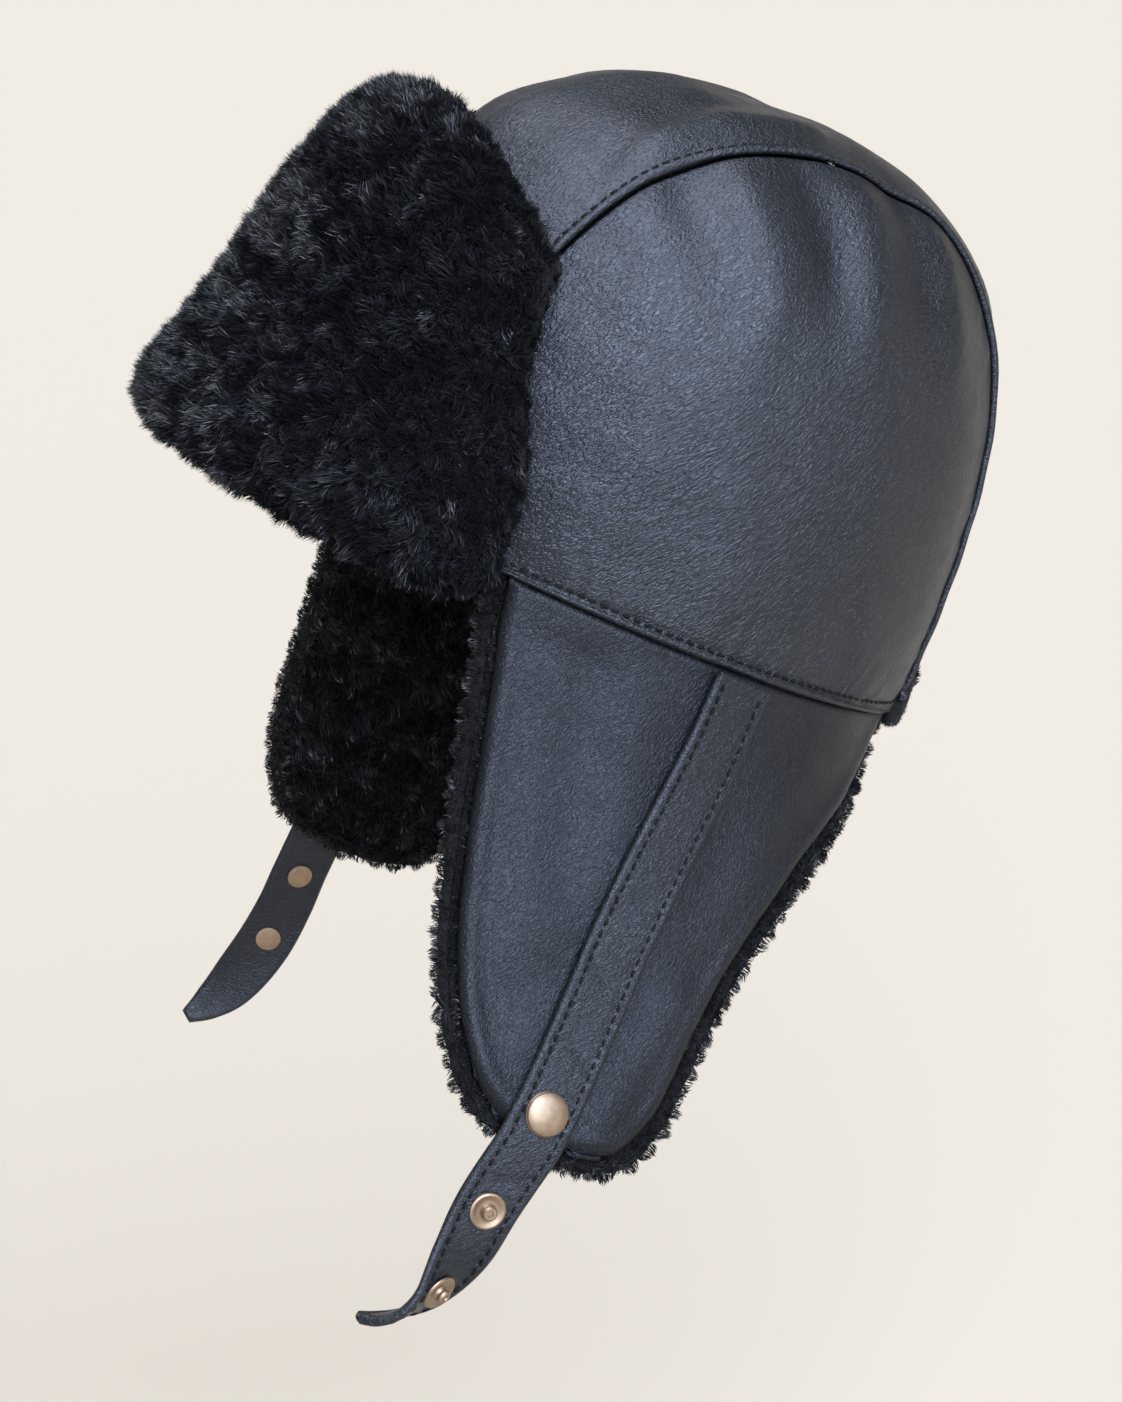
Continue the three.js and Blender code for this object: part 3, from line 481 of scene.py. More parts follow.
EAR_FLAP_FOLDS = [
    (0.2, 0.08, 0.3, 0.5, 0.06, -0.5),
    (0.34, 0.16, 0.4, 0.62, 0.09, 0.5),
    (0.28, 0.78, 0.4, 0.6, 0.07, -0.6),
    (0.24, 0.94, 0.36, 0.78, 0.07, 0.4),
    (0.62, 0.68, 0.54, 0.94, 0.06, 0.7),
    (0.74, 0.16, 0.66, 0.5, 0.06, 0.5),
]


def eased_drop(down):
    held = np.minimum(down, EAR_FLAP_LENGTH)
    return held**2 / (held + EAR_FLAP_LENGTH / 6) + (down - held) * FREE_LEAN


def flap_out(back, down, flare):
    brow = CROWN_HALF_WIDTH * np.sqrt(np.maximum(1 - (back / CROWN_HALF_LENGTH) ** 2, 0.02))
    middle = EAR_FLAP_WIDTH / 2 - EAR_FLAP_FRONT
    hung = CROWN_HALF_WIDTH * (1 - 0.35 * ((back - middle) / CROWN_HALF_LENGTH) ** 2)
    hangs = smooth(down, 0, EAR_FLAP_LENGTH / 2)
    return brow + (hung - brow) * hangs + math.tan(math.radians(flare)) * eased_drop(down) - EAR_FLAP_INSET


def flap_point(back, down, offset, side):
    """Ear flap face at a place back along it and down it, pushed out by offset."""
    flare, sway = EAR_FLAP_HANG[side]
    step = 0.5 * MM

    def out(b, d):
        return flap_out(b, np.maximum(d, 0), flare)

    slope_back = (out(back + step, down) - out(back - step, down)) / (2 * step)
    slope_down = (out(back, down + step) - out(back, down - step)) / (2 * step)
    normal = unit(np.stack([1 + 0 * slope_back, -slope_back, slope_down], -1))
    share = (back + EAR_FLAP_FRONT) / EAR_FLAP_WIDTH
    fade = smooth(down, 0, EAR_FLAP_LENGTH * 0.1)
    lift = offset + folds(EAR_FLAP_FOLDS, share, down / EAR_FLAP_LENGTH) * fade
    swung = back + math.tan(math.radians(sway)) * eased_drop(down)
    point = np.stack([out(back, down), swung, -down], -1) + normal * lift[..., None]
    return point * (HAND[side], 1, 1)


def flap_place(across, share, grow):
    """Place across and down the flap, whose outline grows by the fringe below its top edge."""
    down = GAP + share * (EAR_FLAP_LENGTH - GAP + grow)
    row = np.clip(down / (EAR_FLAP_LENGTH + grow), 0, 1)
    edge = grow * smooth(down, 0, EAR_FLAP_LENGTH * 0.2) * np.sqrt(np.maximum(1 - row**8, 0))
    front = read(EAR_FLAP, "front", row) * EAR_FLAP_WIDTH - EAR_FLAP_FRONT - edge * FRONT_FRINGE
    back = read(EAR_FLAP, "back", row) * EAR_FLAP_WIDTH - EAR_FLAP_FRONT + edge * BACK_FRINGE
    start = np.arccos(np.clip(-front / CROWN_HALF_LENGTH, -1, 1))
    end = np.arccos(np.clip(-back / CROWN_HALF_LENGTH, -1, 1))
    return -CROWN_HALF_LENGTH * np.cos(start + (end - start) * across), down


def flap_outline():
    shares = np.linspace(0.02, 1, 400)
    edges = [np.stack(flap_place(0 * shares + across, shares, 0), -1) for across in (0, 1)]
    return np.concatenate(edges)


def from_edge(back, down, outline):
    """Distance to the nearest point of an outline."""
    away = np.full(back.shape, 1.0)
    for spot in outline:
        away = np.minimum(away, np.hypot(back - spot[0], down - spot[1]))
    return away


FLAP_ROLL = 2.8 * MM
FLAP_TUCK = 3 * MM
FLAP_WEAR = 1.8
FLAP_PUCKER = 0.3 * MM
FLAP_PUCKER_STEP = 7.5 * MM
FLAP_PUFF = 0.7 * MM
FLAP_SINK = 2.2 * MM  # of its top edge, under the crown's


def ear_flap_place(side):
    outline = flap_outline()

    def place(u, v):
        back, down = flap_place(crowded(u), crowded(v), 0)
        down = down - FLAP_TUCK * (1 - smooth(v, 0, 0.12))
        away = from_edge(back, down, outline)
        course = (down + 0.6 * back) / FLAP_PUCKER_STEP
        pucker = FLAP_PUCKER * np.sin(course + 1.5 * np.sin(course / 3)) * np.exp(-away / (6 * MM))
        puffed = FLAP_PUFF * np.exp(-((away - 4 * MM) / (2.6 * MM)) ** 2)
        under = -FLAP_SINK * (1 - smooth(down, -1.5 * MM, 2 * MM))
        lift = tuck(away, FLAP_ROLL) + pucker * smooth(down, 0, 20 * MM) + puffed + under
        base = flap_point(back, down, lift, side)
        return base + (FLAP_WEAR * undulation(base * 1.15) * HAND[side])[..., None] * np.array([1, 0, 0])

    return place


flap_leather = nappa("nappa_leather_flap", "#0d0f11", "#16181b", -50, grain=0.95 * MM,
                     stretch=2.4, depth=0.3, gloss=0.29)
for side in HAND:
    flap = leather_sheet(f"ear_flap_leather_{side}", 80, 80, ear_flap_place(side),
                         tipped(np.array([0, 0, -80 * MM])))
    dress(flap, flap_leather, "flap_leather", f"ear_flap_{side}")

# Ear flap fur
# Black plush pile about 8 mm deep on the inner face of each ear flap. It stands past the leather all round as
# a fringe of small curls. Each fibre is drawn as a narrow blade, coarser than a real one so that it shows.
LINING_GAP = 0.8 * MM
PILE = 8 * MM
LOCK_HEIGHT = 2 * MM
EAR_FRINGE = 7 * MM
BLADE = 0.36 * MM
PAINTED_SHEEN_SIZE = 26 * MM


def rounded(share):
    """Rounded height of a flat-topped pile, from edge to edge."""
    return np.maximum(1 - np.abs(2 * share - 1) ** 5, 0) ** 0.45


def spread_shares(columns, rows, pull, span=(0, 1)):
    across = span[0] + (span[1] - span[0]) * crowded(np.linspace(0, 1, columns), pull)
    return np.meshgrid(across, crowded(np.linspace(0, 1, rows), pull), indexing="ij")


def scattered(surface, count, luck, span, columns=150, rows=120):
    """Random places on a surface, as even as its own area."""
    u, v = spread_shares(columns, rows, 0.97, span)
    points = surface(u, v, 1)
    across, along = points[1:, :-1] - points[:-1, :-1], points[:-1, 1:] - points[:-1, :-1]
    area = np.linalg.norm(np.cross(across, along), axis=-1).ravel()
    cell = luck.choice(len(area), count, p=area / area.sum())
    i, j = cell // (rows - 1), cell % (rows - 1)
    s, t = luck.random(count), luck.random(count)
    return u[i, j] + (u[i + 1, j] - u[i, j]) * s, v[i, j] + (v[i, j + 1] - v[i, j]) * t


def swirl(points, size):
    """Smooth directions that wander over a distance of about size."""
    x, y, z = (points[..., k] / size * 2 * math.pi for k in range(3))
    return np.stack([np.sin(y + 1.7 * np.sin(0.6 * z + 1)) + 0.6 * np.sin(1.7 * z + x),
                     np.sin(z + 1.5 * np.sin(0.7 * x + 2)) + 0.6 * np.sin(1.4 * x - y),
                     np.sin(x + 1.6 * np.sin(0.8 * y + 3)) + 0.6 * np.sin(1.6 * y + z)], -1) / 1.4


def clump_centres(tips, count, clump, luck):
    """For each tip, the number of the fibre that its small clump gathers round."""
    middles = luck.choice(len(tips), max(int(count / 40), 8), replace=False)
    chosen, taken = [], kdtree.KDTree(len(middles))
    for k, index in enumerate(middles):
        taken.insert(tips[index], k)
    taken.balance()
    for k, index in enumerate(middles):
        if all(j >= k for _, j, _ in taken.find_range(tips[index], clump)):
            chosen.append(index)
    tree = kdtree.KDTree(len(chosen))
    for k, index in enumerate(chosen):
        tree.insert(tips[index], k)
    tree.balance()
    return np.array(chosen)[[tree.find(p)[1] for p in tips]]


def triangle_mesh(name, points, faces, uv):
    mesh = bpy.data.meshes.new(name)
    mesh.vertices.add(len(points))
    mesh.vertices.foreach_set("co", tipped(points).astype(np.float32).ravel())
    mesh.loops.add(faces.size)
    mesh.loops.foreach_set("vertex_index", faces.ravel().astype(np.int32))
    mesh.polygons.add(len(faces))
    mesh.polygons.foreach_set("loop_start", np.arange(0, faces.size, 3, dtype=np.int32))
    mesh.update(calc_edges=True)
    layer = mesh.uv_layers.new(name="fibre")
    layer.data.foreach_set("uv", uv[faces.ravel()].astype(np.float32).ravel())
    mesh.validate()
    return linked(name, mesh)


def fur_mesh(name, surface, count, length, curl=0.7, curl_size=9 * MM, clump=2.6 * MM, pull=0.4, keep=None,
             span=(0, 1), core=(60, 50), core_share=0.5, seed=1):
    """Pile whose tips end on surface(u, v, 1), over a dark core sheet at surface(u, v, core_share), darkened
    as painted shade.

    surface(u, v, 0) is the skin that the pile grows on, keep limits which places grow fibres, and span is
    the range of u that the pile covers. Fibres wander with their neighbours and gather into small clumps."""
    luck = np.random.default_rng(seed)
    u, v = scattered(surface, count, luck, span)
    if keep is not None:
        kept = keep(u, v)
        u, v = u[kept], v[kept]
    tips = surface(u, v, 1)
    lay = tips - surface(u, v, 0.05)
    deep = np.linalg.norm(lay, axis=-1, keepdims=True)
    lay = unit(lay)
    tall = np.minimum(length, deep) * (0.82 + 0.36 * luck.random((len(u), 1)))
    roots = tips - lay * np.minimum(length, deep)
    noise = luck.normal(size=tips.shape)
    wander = curl * swirl(tips, curl_size) + 0.35 * swirl(tips + 1, curl_size * 3) + 0.25 * noise
    bend = unit(lay + wander)
    middle = roots + (0.7 * lay + 0.3 * bend) * tall * 0.6
    ends = roots + (0.4 * lay + 0.6 * bend) * tall

    nearest = clump_centres(tips, count, clump, luck)
    aim = ends[nearest] + lay[nearest] * (length * 0.1 * luck.normal(size=(len(u), 1)))
    gather = pull * (0.5 + 0.5 * luck.random((len(u), 1)))
    ends = ends + (aim - ends) * gather
    middle = middle + (aim - middle) * gather * 0.2
    flat = unit(np.cross(ends - roots, lay + 0.6 * luck.normal(size=lay.shape)))
    wide = flat * (BLADE / 2 * (0.75 + 0.5 * luck.random((len(u), 1))))
    blades = np.stack([roots, middle - wide, middle + wide, ends], 1)
    first = np.arange(len(u))[:, None] * 4
    triangles = np.concatenate([first + (0, 2, 1), first + (1, 2, 3)], 1).reshape(-1, 3)
    # Painted sheen: each fibre's first UV share sets how much of the painted highlight colour it takes, more
    # of it in broad patches.
    painted_sheen_patch = np.clip(0.5 + 0.4 * swirl(tips, PAINTED_SHEEN_SIZE)[:, 1], 0, 1)
    tone = (0.6 + 0.4 * painted_sheen_patch) * luck.random(len(u)) ** 0.7
    blade_uv = np.stack([np.repeat(tone, 4), np.tile([0, 0.6, 0.6, 1], len(u))], -1)

    columns, rows = core
    cu, cv = spread_shares(columns, rows, 0.9, span)
    under = surface(cu, cv, core_share)
    across, along = under[1:, :-1] - under[:-1, :-1], under[:-1, 1:] - under[:-1, :-1]
    facing = np.sum(np.cross(across, along) * (surface(cu, cv, 1) - under)[:-1, :-1])
    number = np.arange(columns * rows).reshape(columns, rows) + len(u) * 4
    a, b, c, d = number[:-1, :-1], number[1:, :-1], number[1:, 1:], number[:-1, 1:]
    corners = (a, b, c, a, c, d) if facing > 0 else (a, c, b, a, d, c)
    below = np.stack(corners, -1).reshape(-1, 3)
    points = np.concatenate([blades.reshape(-1, 3), under.reshape(-1, 3)])
    # The core's zero UV gives it no painted highlight and the darkest painted shade.
    uv = np.concatenate([blade_uv, np.zeros((columns * rows, 2))])
    return triangle_mesh(name, points, np.concatenate([triangles, below]), uv)


def plush(name, root, tip, painted_highlight):
    """Sheepskin pile dyed black: matt near the skin, with a slight cool sheen; painted shade darkens it
    towards the skin and a painted cool highlight lightens some fibres.
    """
    material, shader = blank(name)
    fibre = node(material, "ShaderNodeUVMap", {"uv_map": "fibre"}).outputs[0]
    parts = node(material, "ShaderNodeSeparateXYZ", Vector=fibre)
    # Painted shade and highlight: each fibre runs from the darker root colour to the lighter tip colour.
    up = ramp(material, parts.outputs["Y"], [(0.1, linear(root)), (1, linear(tip))])
    # Painted highlight: fibres with a high sheen share are mixed towards the highlight colour.
    shine = ramp(material, parts.outputs["X"], [(0.55, grey(0)), (1, grey(1))])
    tone = node(material, "ShaderNodeMix", {"data_type": "RGBA"}, _0=shine.outputs["Color"],
                _6=up.outputs["Color"], _7=linear(painted_highlight))
    # Painted shade: the colour darkens towards the skin, down to a quarter at the core.
    depth = ramp(material, parts.outputs["Y"], [(0, grey(0.25)), (0.8, grey(1))])
    shade = node(material, "ShaderNodeMix", {"data_type": "RGBA", "blend_type": "MULTIPLY"}, _0=1.0,
                 _6=tone.outputs[2], _7=depth.outputs["Color"])
    rough = ramp(material, parts.outputs["Y"], [(0.1, grey(0.95)), (0.6, grey(0.36))])
    plug(material, shader, Base_Color=shade.outputs[2], Roughness=rough.outputs["Color"],
         Specular_IOR_Level=0.4, Sheen_Weight=0.08, Sheen_Roughness=0.4, Sheen_Tint=linear("#8f949c"))
    return material


# The last colour is the painted highlight on the fibres.
black_plush = plush("sheepskin_pile", "#030303", "#0d0d0e", "#3a3c42")


def ear_lining_surface(side):
    backing = LEATHER + LINING_GAP

    def surface(u, v, full):
        share = GAP / EAR_FLAP_LENGTH + (1 - GAP / EAR_FLAP_LENGTH) * v
        back, down = flap_place(u, share, EAR_FRINGE * 0.6)
        pile = rounded(u) * rounded(v) * (PILE + LOCK_HEIGHT * 0.5) * full
        return flap_point(back, down, -(backing + pile), side)

    return surface


CURL = 6 * MM
CURL_DRIFT = 17 * MM
ROLL_RADIUS = 5.3 * MM
ROLL_LOW, ROLL_SWELL = 0.6, 0.45
ROLL_BEHIND = 0.55
ROLL_OUT = {"front": 3.2 * MM, "back": 5.4 * MM}


def ear_fringe_surface(side):
    """A roll of curls round the flap's edge: u runs down its front and up its back, v goes round the roll."""

    def rim(u):
        share = np.sin((1 - np.abs(2 * u - 1)) * math.pi / 2)
        return np.stack(flap_place(np.where(u < 0.5, 0.0, 1.0), 0.005 + 0.995 * share, 0), -1)

    line = rim(np.linspace(0, 1, 1500))
    run = run_length(line)
    inner = np.array([EAR_FLAP_WIDTH * 0.42 - EAR_FLAP_FRONT, EAR_FLAP_LENGTH * 0.4])

    def surface(u, v, full):
        gone = u * run[-1]
        spot = read_line(gone, run, line)
        along = unit(read_line(gone + 2 * MM, run, line) - read_line(gone - 2 * MM, run, line))
        outward = np.stack([-along[..., 1], along[..., 0]], -1)
        outward = outward * np.sign(np.sum(outward * (spot - inner), -1))[..., None]
        curls = np.abs(np.sin(math.pi * gone / CURL + 0.9 * np.sin(gone / CURL_DRIFT))) ** 0.6
        radius = ROLL_RADIUS * (ROLL_LOW + ROLL_SWELL * curls) * full
        turn = v * 2 * math.pi
        out = ROLL_OUT["front"] + (ROLL_OUT["back"] - ROLL_OUT["front"]) * smooth(u, 0.42, 0.58)
        away = spot + outward * (out + radius * np.cos(turn))[..., None]
        deep = LEATHER + LINING_GAP + ROLL_RADIUS * ROLL_BEHIND + radius * np.sin(turn)
        return flap_point(away[..., 0], away[..., 1], -deep, side)

    return surface


for side, hand in HAND.items():
    lining = fur_mesh(f"ear_flap_fur_{side}", ear_lining_surface(side), 50000, 7 * MM,
                      keep=lambda u, v: v > 0.04, seed=11 + hand)
    dress(lining, black_plush, "fur", f"ear_flap_lining_{side}")
    fringe = fur_mesh(f"ear_flap_fringe_{side}", ear_fringe_surface(side), 20000, 3.6 * MM, curl=0.5,
                      pull=0.5, core=(160, 12), core_share=0.45, seed=15 + hand)
    dress(fringe, black_plush, "fur", f"ear_flap_lining_{side}")

# Crown lining and nape band
# The same pile inside the crown, on a skin that is sewn in at the brow line. At the nape the leather is cut
# higher, and the pile shows below it as a soft roll, whose inner side climbs behind the leather.
NAPE_BAND_DROP = 9 * MM
NAPE_BAND_GAP = 1.1 * MM
NAPE_BAND_RISE = 7 * MM
NAPE_BAND_BULGE = PILE * 0.56
NAPE_HALF_SPAN = math.radians(30)


def crown_lining_surface(u, v, full):
    around = u * 2 * math.pi
    reach = v * (1 - 2 * LINING_GAP / CROWN_HEIGHT)
    side, front = trimmed(reach * np.sin(around), reach * np.cos(around))
    return crown_point(side, front, -(LEATHER + FOLD_DEPTH + LINING_GAP + PILE * full) + 0 * side)


def nape_band_surface(u, v, full):
    """v runs round the band's section, from its inner top edge under and out to its outer top edge."""
    around = math.pi + (2 * u - 1) * NAPE_HALF_SPAN
    side, front = np.sin(around), np.cos(around)
    top = 1 - nape_share(side, front) + NAPE_BAND_GAP / CROWN_HEIGHT
    ends = np.sin(math.pi * np.clip(u, 0.001, 0.999)) ** 0.35
    bottom = 1 + (2 / math.pi) * NAPE_BAND_DROP * ends / CROWN_HEIGHT
    turn = v * 2 * math.pi
    reach = (top + bottom) / 2 - (bottom - top) / 2 * np.cos(turn) * full
    reach = reach - (2 / math.pi) * NAPE_BAND_RISE / CROWN_HEIGHT * np.maximum(np.sin(turn), 0) * full
    curls = 0.8 + 0.35 * np.abs(np.sin(around * CROWN_HALF_LENGTH / CURL * math.pi))
    bulge = np.sign(np.sin(turn)) * np.abs(np.sin(turn)) ** 0.6 * full * curls
    return crown_point(side * reach, front * reach, -bulge * NAPE_BAND_BULGE)


crown_fur = fur_mesh("crown_fur", crown_lining_surface, 25000, 6.5 * MM, core=(70, 30), seed=21)
dress(crown_fur, black_plush, "fur", "crown_lining")
nape_fur = fur_mesh("nape_fur", nape_band_surface, 14000, 4 * MM, curl=0.5, pull=0.5, core=(60, 14),
                    core_share=0.88, seed=22)
dress(nape_fur, black_plush, "fur", "nape_fur_band")

# Front flap
# A leather-backed flap turned up from the brow against the crown, its face covered in deep brushed pile
# that stands out over the top and side edges in long tufts. Only a thin leather fold shows below it.
FRONT_FLAP_HEIGHT = 113 * MM
FRONT_FLAP_SIDE_HEIGHT = 91 * MM
FRONT_FLAP_HALF_ANGLE = math.radians(60)
FRONT_FLAP_STAND = 12 * MM
FRONT_FUR_DEPTH = 25 * MM
FRONT_FUR_OVERHANG = 14 * MM
FRONT_FUR_START = 0.37
FRONT_FUR_WRAP = {"far": 0.98, "near_low": 1.0, "near_high": 1.1}  # against the flap's own half-angle
FRONT_LUMP = 1 * MM
FRONT_LEATHER_SPAN = 0.96
FRONT_SECTION = {
    "along": np.linspace(0, 1, 9),
    "rise": (-0.006, -0.045, -0.065, -0.03, 0.08, 0.22, 0.42, 0.7, 1),
    "stand": (-0.06, 0.1, 0.5, 0.95, 1.05, 0.8, 0.5, 0.45, 0.75),
    "half": (1, 1, 1, 1, 0.99, 0.93, 0.84, 0.75, 0.72),
}
FRONT_FUR = {
    "rise": (0, 0.25, 0.5, 0.75, 1),
    "depth": (1.2, 1.02, 0.92, 0.88, 0.9),
}


def front_place(across, along, push, sink=0):
    """Front flap at a place across it (-1 to 1) and along its section, pushed out from its middle."""

    def spot(t):
        height = FRONT_FLAP_HEIGHT + (FRONT_FLAP_SIDE_HEIGHT - FRONT_FLAP_HEIGHT) * across**2
        up = read(FRONT_SECTION, "rise", t) * height
        wall = (1 - (np.maximum(up, 0) / CROWN_HEIGHT) ** CROWN_FULLNESS) ** (1 / CROWN_FULLNESS)
        return up, wall, read(FRONT_SECTION, "stand", t) * FRONT_FLAP_STAND

    up, wall, stand = spot(along)
    up_next, wall_next, stand_next = spot(np.minimum(along + 0.01, 1))
    up_last, wall_last, stand_last = spot(np.maximum(along - 0.01, 0))
    run = CROWN_HALF_LENGTH * (wall_next - wall_last) + stand_next - stand_last
    climb = up_next - up_last
    size = np.hypot(run, climb)
    around = FRONT_FLAP_HALF_ANGLE * read(FRONT_SECTION, "half", along) * across
    ring = stand + push * climb / size + sink
    return np.stack([(CROWN_HALF_WIDTH * wall + ring) * np.sin(around),
                     -(CROWN_HALF_LENGTH * wall + ring) * np.cos(around), up - push * run / size], -1)


def front_fur_surface(u, v, full):
    rising = smooth(v, 0.2, 0.6)
    near = FRONT_FUR_WRAP["near_low"] * (1 - rising) + FRONT_FUR_WRAP["near_high"] * rising
    across = (2 * u - 1) * np.where(u < 0.5, FRONT_FUR_WRAP["far"], near)
    lumps = FRONT_LUMP * np.sin(8 * across + 2 * np.sin(4 * v)) * np.sin(9 * v + 1.7 * np.sin(4 * across))
    depth = read(FRONT_FUR, "depth", v) * FRONT_FUR_DEPTH + LOCK_HEIGHT * 0.5 + lumps
    pile = rounded(u) * rounded(v) * depth * full
    point = front_place(across, FRONT_FUR_START + (1 - FRONT_FUR_START) * v, LEATHER / 2 + LINING_GAP, pile)
    lean = pile / FRONT_FUR_DEPTH * FRONT_FUR_OVERHANG
    point[..., 2] += lean * (2 * v - 1)
    point[..., 0] += lean * across
    return point


def front_leather_place(u, v):
    return front_place(FRONT_LEATHER_SPAN * (2 * u - 1), v, LEATHER / 2)


front_leather = leather_sheet("front_flap_backing", 70, 36, front_leather_place, CROWN_INSIDE)
dress(front_leather, flap_leather, "flap_leather", "front_flap_leather")
for half_name, span in {"left": (0.5, 1), "right": (0, 0.5)}.items():
    front_fur = fur_mesh(f"front_flap_fur_{half_name}", front_fur_surface, 93000, 9 * MM, curl=0.8,
                         curl_size=8 * MM, span=span, core=(50, 60), core_share=0.6, seed=31)
    dress(front_fur, black_plush, "fur", "front_flap_fur")

# Straps
# A strap of folded leather, 21 mm wide and 2.6 mm thick, sewn down each ear flap and then free, tapering
# to a point that turns over. Its edges are turned and stitched 3.3 mm in, and use has creased it across. It
# is a grid wrapped round the strap's section and closed at its ends.
STRAP_WIDTH = 21 * MM
STRAP_THICKNESS = 2.6 * MM
STRAP_CLEARANCE = 0.9 * MM
STRAP_LENGTH = EAR_FLAP_LENGTH + 72 * MM
STRAP_TWIST = math.radians(80)
STRAP_STITCH = 3.3 * MM
STRAP_SEWN = {
    "down": (0.008, 0.12, 0.33, 0.5, 0.63),
    "back": (0.112, 0.105, 0.07, 0.052, 0.037),
    "wide": (1, 1, 1, 1, 1),
    "turn": (0, 0, 0, 0, 0),
}
STRAP_END = {
    "left": {
        "down": (0.76, 0.84, 0.906, 0.946, 0.966, 0.974),
        "back": (0.012, 0.004, -0.012, -0.04, -0.068, -0.094),
        "wide": (1, 1, 0.97, 0.85, 0.62, 0.25),
        "turn": (0.04, 0.2, 0.55, 0.85, 1, 1.05),
    },
    "right": {
        "down": (0.76, 0.84, 0.92, 1, 1.05, 1.085),
        "back": (0.038, 0.042, 0.038, 0.02, -0.004, -0.03),
        "wide": (1, 1, 0.97, 0.85, 0.6, 0.25),
        "turn": (0, 0.05, 0.2, 0.45, 0.6, 0.7),
    },
}


def strap_course(side):
    course = {key: STRAP_SEWN[key] + STRAP_END[side][key] for key in STRAP_SEWN}
    return {"along": np.linspace(0, 1, len(course["down"])), **course}


def strap_frame(place, side):
    """Centre line, face direction, direction across and half-width, at places along the strap."""
    course = strap_course(side)

    def spot(t, height):
        back, down = read(course, "back", t), read(course, "down", t)
        return flap_point(back * STRAP_LENGTH, down * STRAP_LENGTH, height + 0 * t, side)

    height = STRAP_THICKNESS / 2 + STRAP_CLEARANCE
    middle = spot(place, height)
    along = unit(spot(np.minimum(place + 0.01, 1), height) - spot(np.maximum(place - 0.01, 0), height))
    straight = spot(place, height + MM) - middle
    straight = unit(straight - along * np.sum(straight * along, -1, keepdims=True))
    angle = (-HAND[side] * STRAP_TWIST * np.maximum(read(course, "turn", place), 0))[..., None]
    face = straight * np.cos(angle) + np.cross(along, straight) * np.sin(angle)
    return middle, face, np.cross(along, face), read(course, "wide", place) * STRAP_WIDTH / 2, along


def strap_place_at(drop, side):
    course = strap_course(side)
    places = np.linspace(0, 1, 2000)
    return float(np.interp(drop, read(course, "down", places), places))


CREASES = (0.2, 0.255, 0.33, 0.41, 0.47, 0.6)
CREASE_DEPTH = 0.65 * MM
STITCHED = (0.01, 0.95)
STRAP_GROOVE = 0.3 * MM
STRAP_SWELL = 0.35 * MM


def strap_skin(side):
    def place(u, v):
        t = np.clip(u, 0, 1)
        middle, face, across, half, _ = strap_frame(t, side)
        upper = v < 0.5
        share = 2 * crowded(np.where(upper, 2 * v, 2 - 2 * v), 0.8) - 1
        away = half * (1 - np.abs(share))
        thick = STRAP_THICKNESS / 2 * np.sqrt(np.clip(1 - np.abs(share) ** 9, 0, 1))
        thick = thick * np.clip((1 - t) / 0.012, 0.02, 1) ** 0.5
        groove = STRAP_GROOVE * np.exp(-((away - STRAP_STITCH) / (0.7 * MM)) ** 2)
        thick = thick + STRAP_SWELL * np.exp(-((away - STRAP_STITCH * 0.45) / (1.1 * MM)) ** 2)
        worn = 0 * t
        for k, crease in enumerate(CREASES):
            bent = crease + 0.008 * np.sin(2.5 * share + k * 1.7)
            worn = worn + CREASE_DEPTH * np.exp(-((t - bent) / 0.005) ** 2) * (1 - share**2)
        height = np.where(upper, thick - groove - worn, -(thick - groove))
        return middle + across * (share * half)[..., None] + face * height[..., None]

    return place


def strap_body(side):
    piece = shaped_grid(f"strap_leather_{side}", 190, 30, strap_skin(side))
    bpy.ops.object.mode_set(mode="EDIT")
    bpy.ops.mesh.select_all(action="SELECT")
    bpy.ops.mesh.remove_doubles(threshold=0.00002)
    bpy.ops.mesh.fill_holes(sides=200)
    bpy.ops.mesh.normals_make_consistent(inside=False)
    bpy.ops.object.mode_set(mode="OBJECT")
    bpy.ops.object.shade_smooth_by_angle(angle=math.radians(50))
    return piece


def strap_run(side, edge):
    """A row of stitches at the same distance from one edge, on the strap's outer face."""
    t = np.linspace(*STITCHED, 500)
    middle, face, across, half, _ = strap_frame(t, side)
    reach = np.maximum(half - STRAP_STITCH, 0) * edge
    points = middle + across * reach[:, None] + face * (STRAP_THICKNESS / 2 + 0.05 * MM)
    return tipped(points), tipped(face)


strap_leather = nappa("nappa_leather_strap", "#0d0f11", "#17191c", -80, grain=0.95 * MM,
                      stretch=2.4, depth=0.32, gloss=0.45)
for side in HAND:
    dress(strap_body(side), strap_leather, "strap_leather", f"strap_{side}")
    rows = [strap_run(side, 1), strap_run(side, -1)]
    stitched(f"strap_stitches_{side}", rows, black_thread, "strap_leather")

# Snaps
# Pressed brass fasteners plated in warm satin nickel: a domed cap where the strap leaves the flap, and two
# studs on the free end, each a rolled ring flange round a post with a waist for the socket's spring. Each is
# a disc extruded up its profile of (radius, height).
SNAP_SHANK = 3 * MM / 2
CAP_RADIUS = 13.5 * MM / 2
CAP_HEIGHT = 2.6 * MM
CAP_RIM = 0.5 * MM
STUD_RADIUS = 11.4 * MM / 2
POST_RADIUS = 4.6 * MM / 2
POST_HEIGHT = 3.2 * MM
FOOT = STRAP_THICKNESS / 2
SEAT = {"cap": 0.63, "stud_upper": 0.775, "stud_lower": 0.9}
TURNED = 48


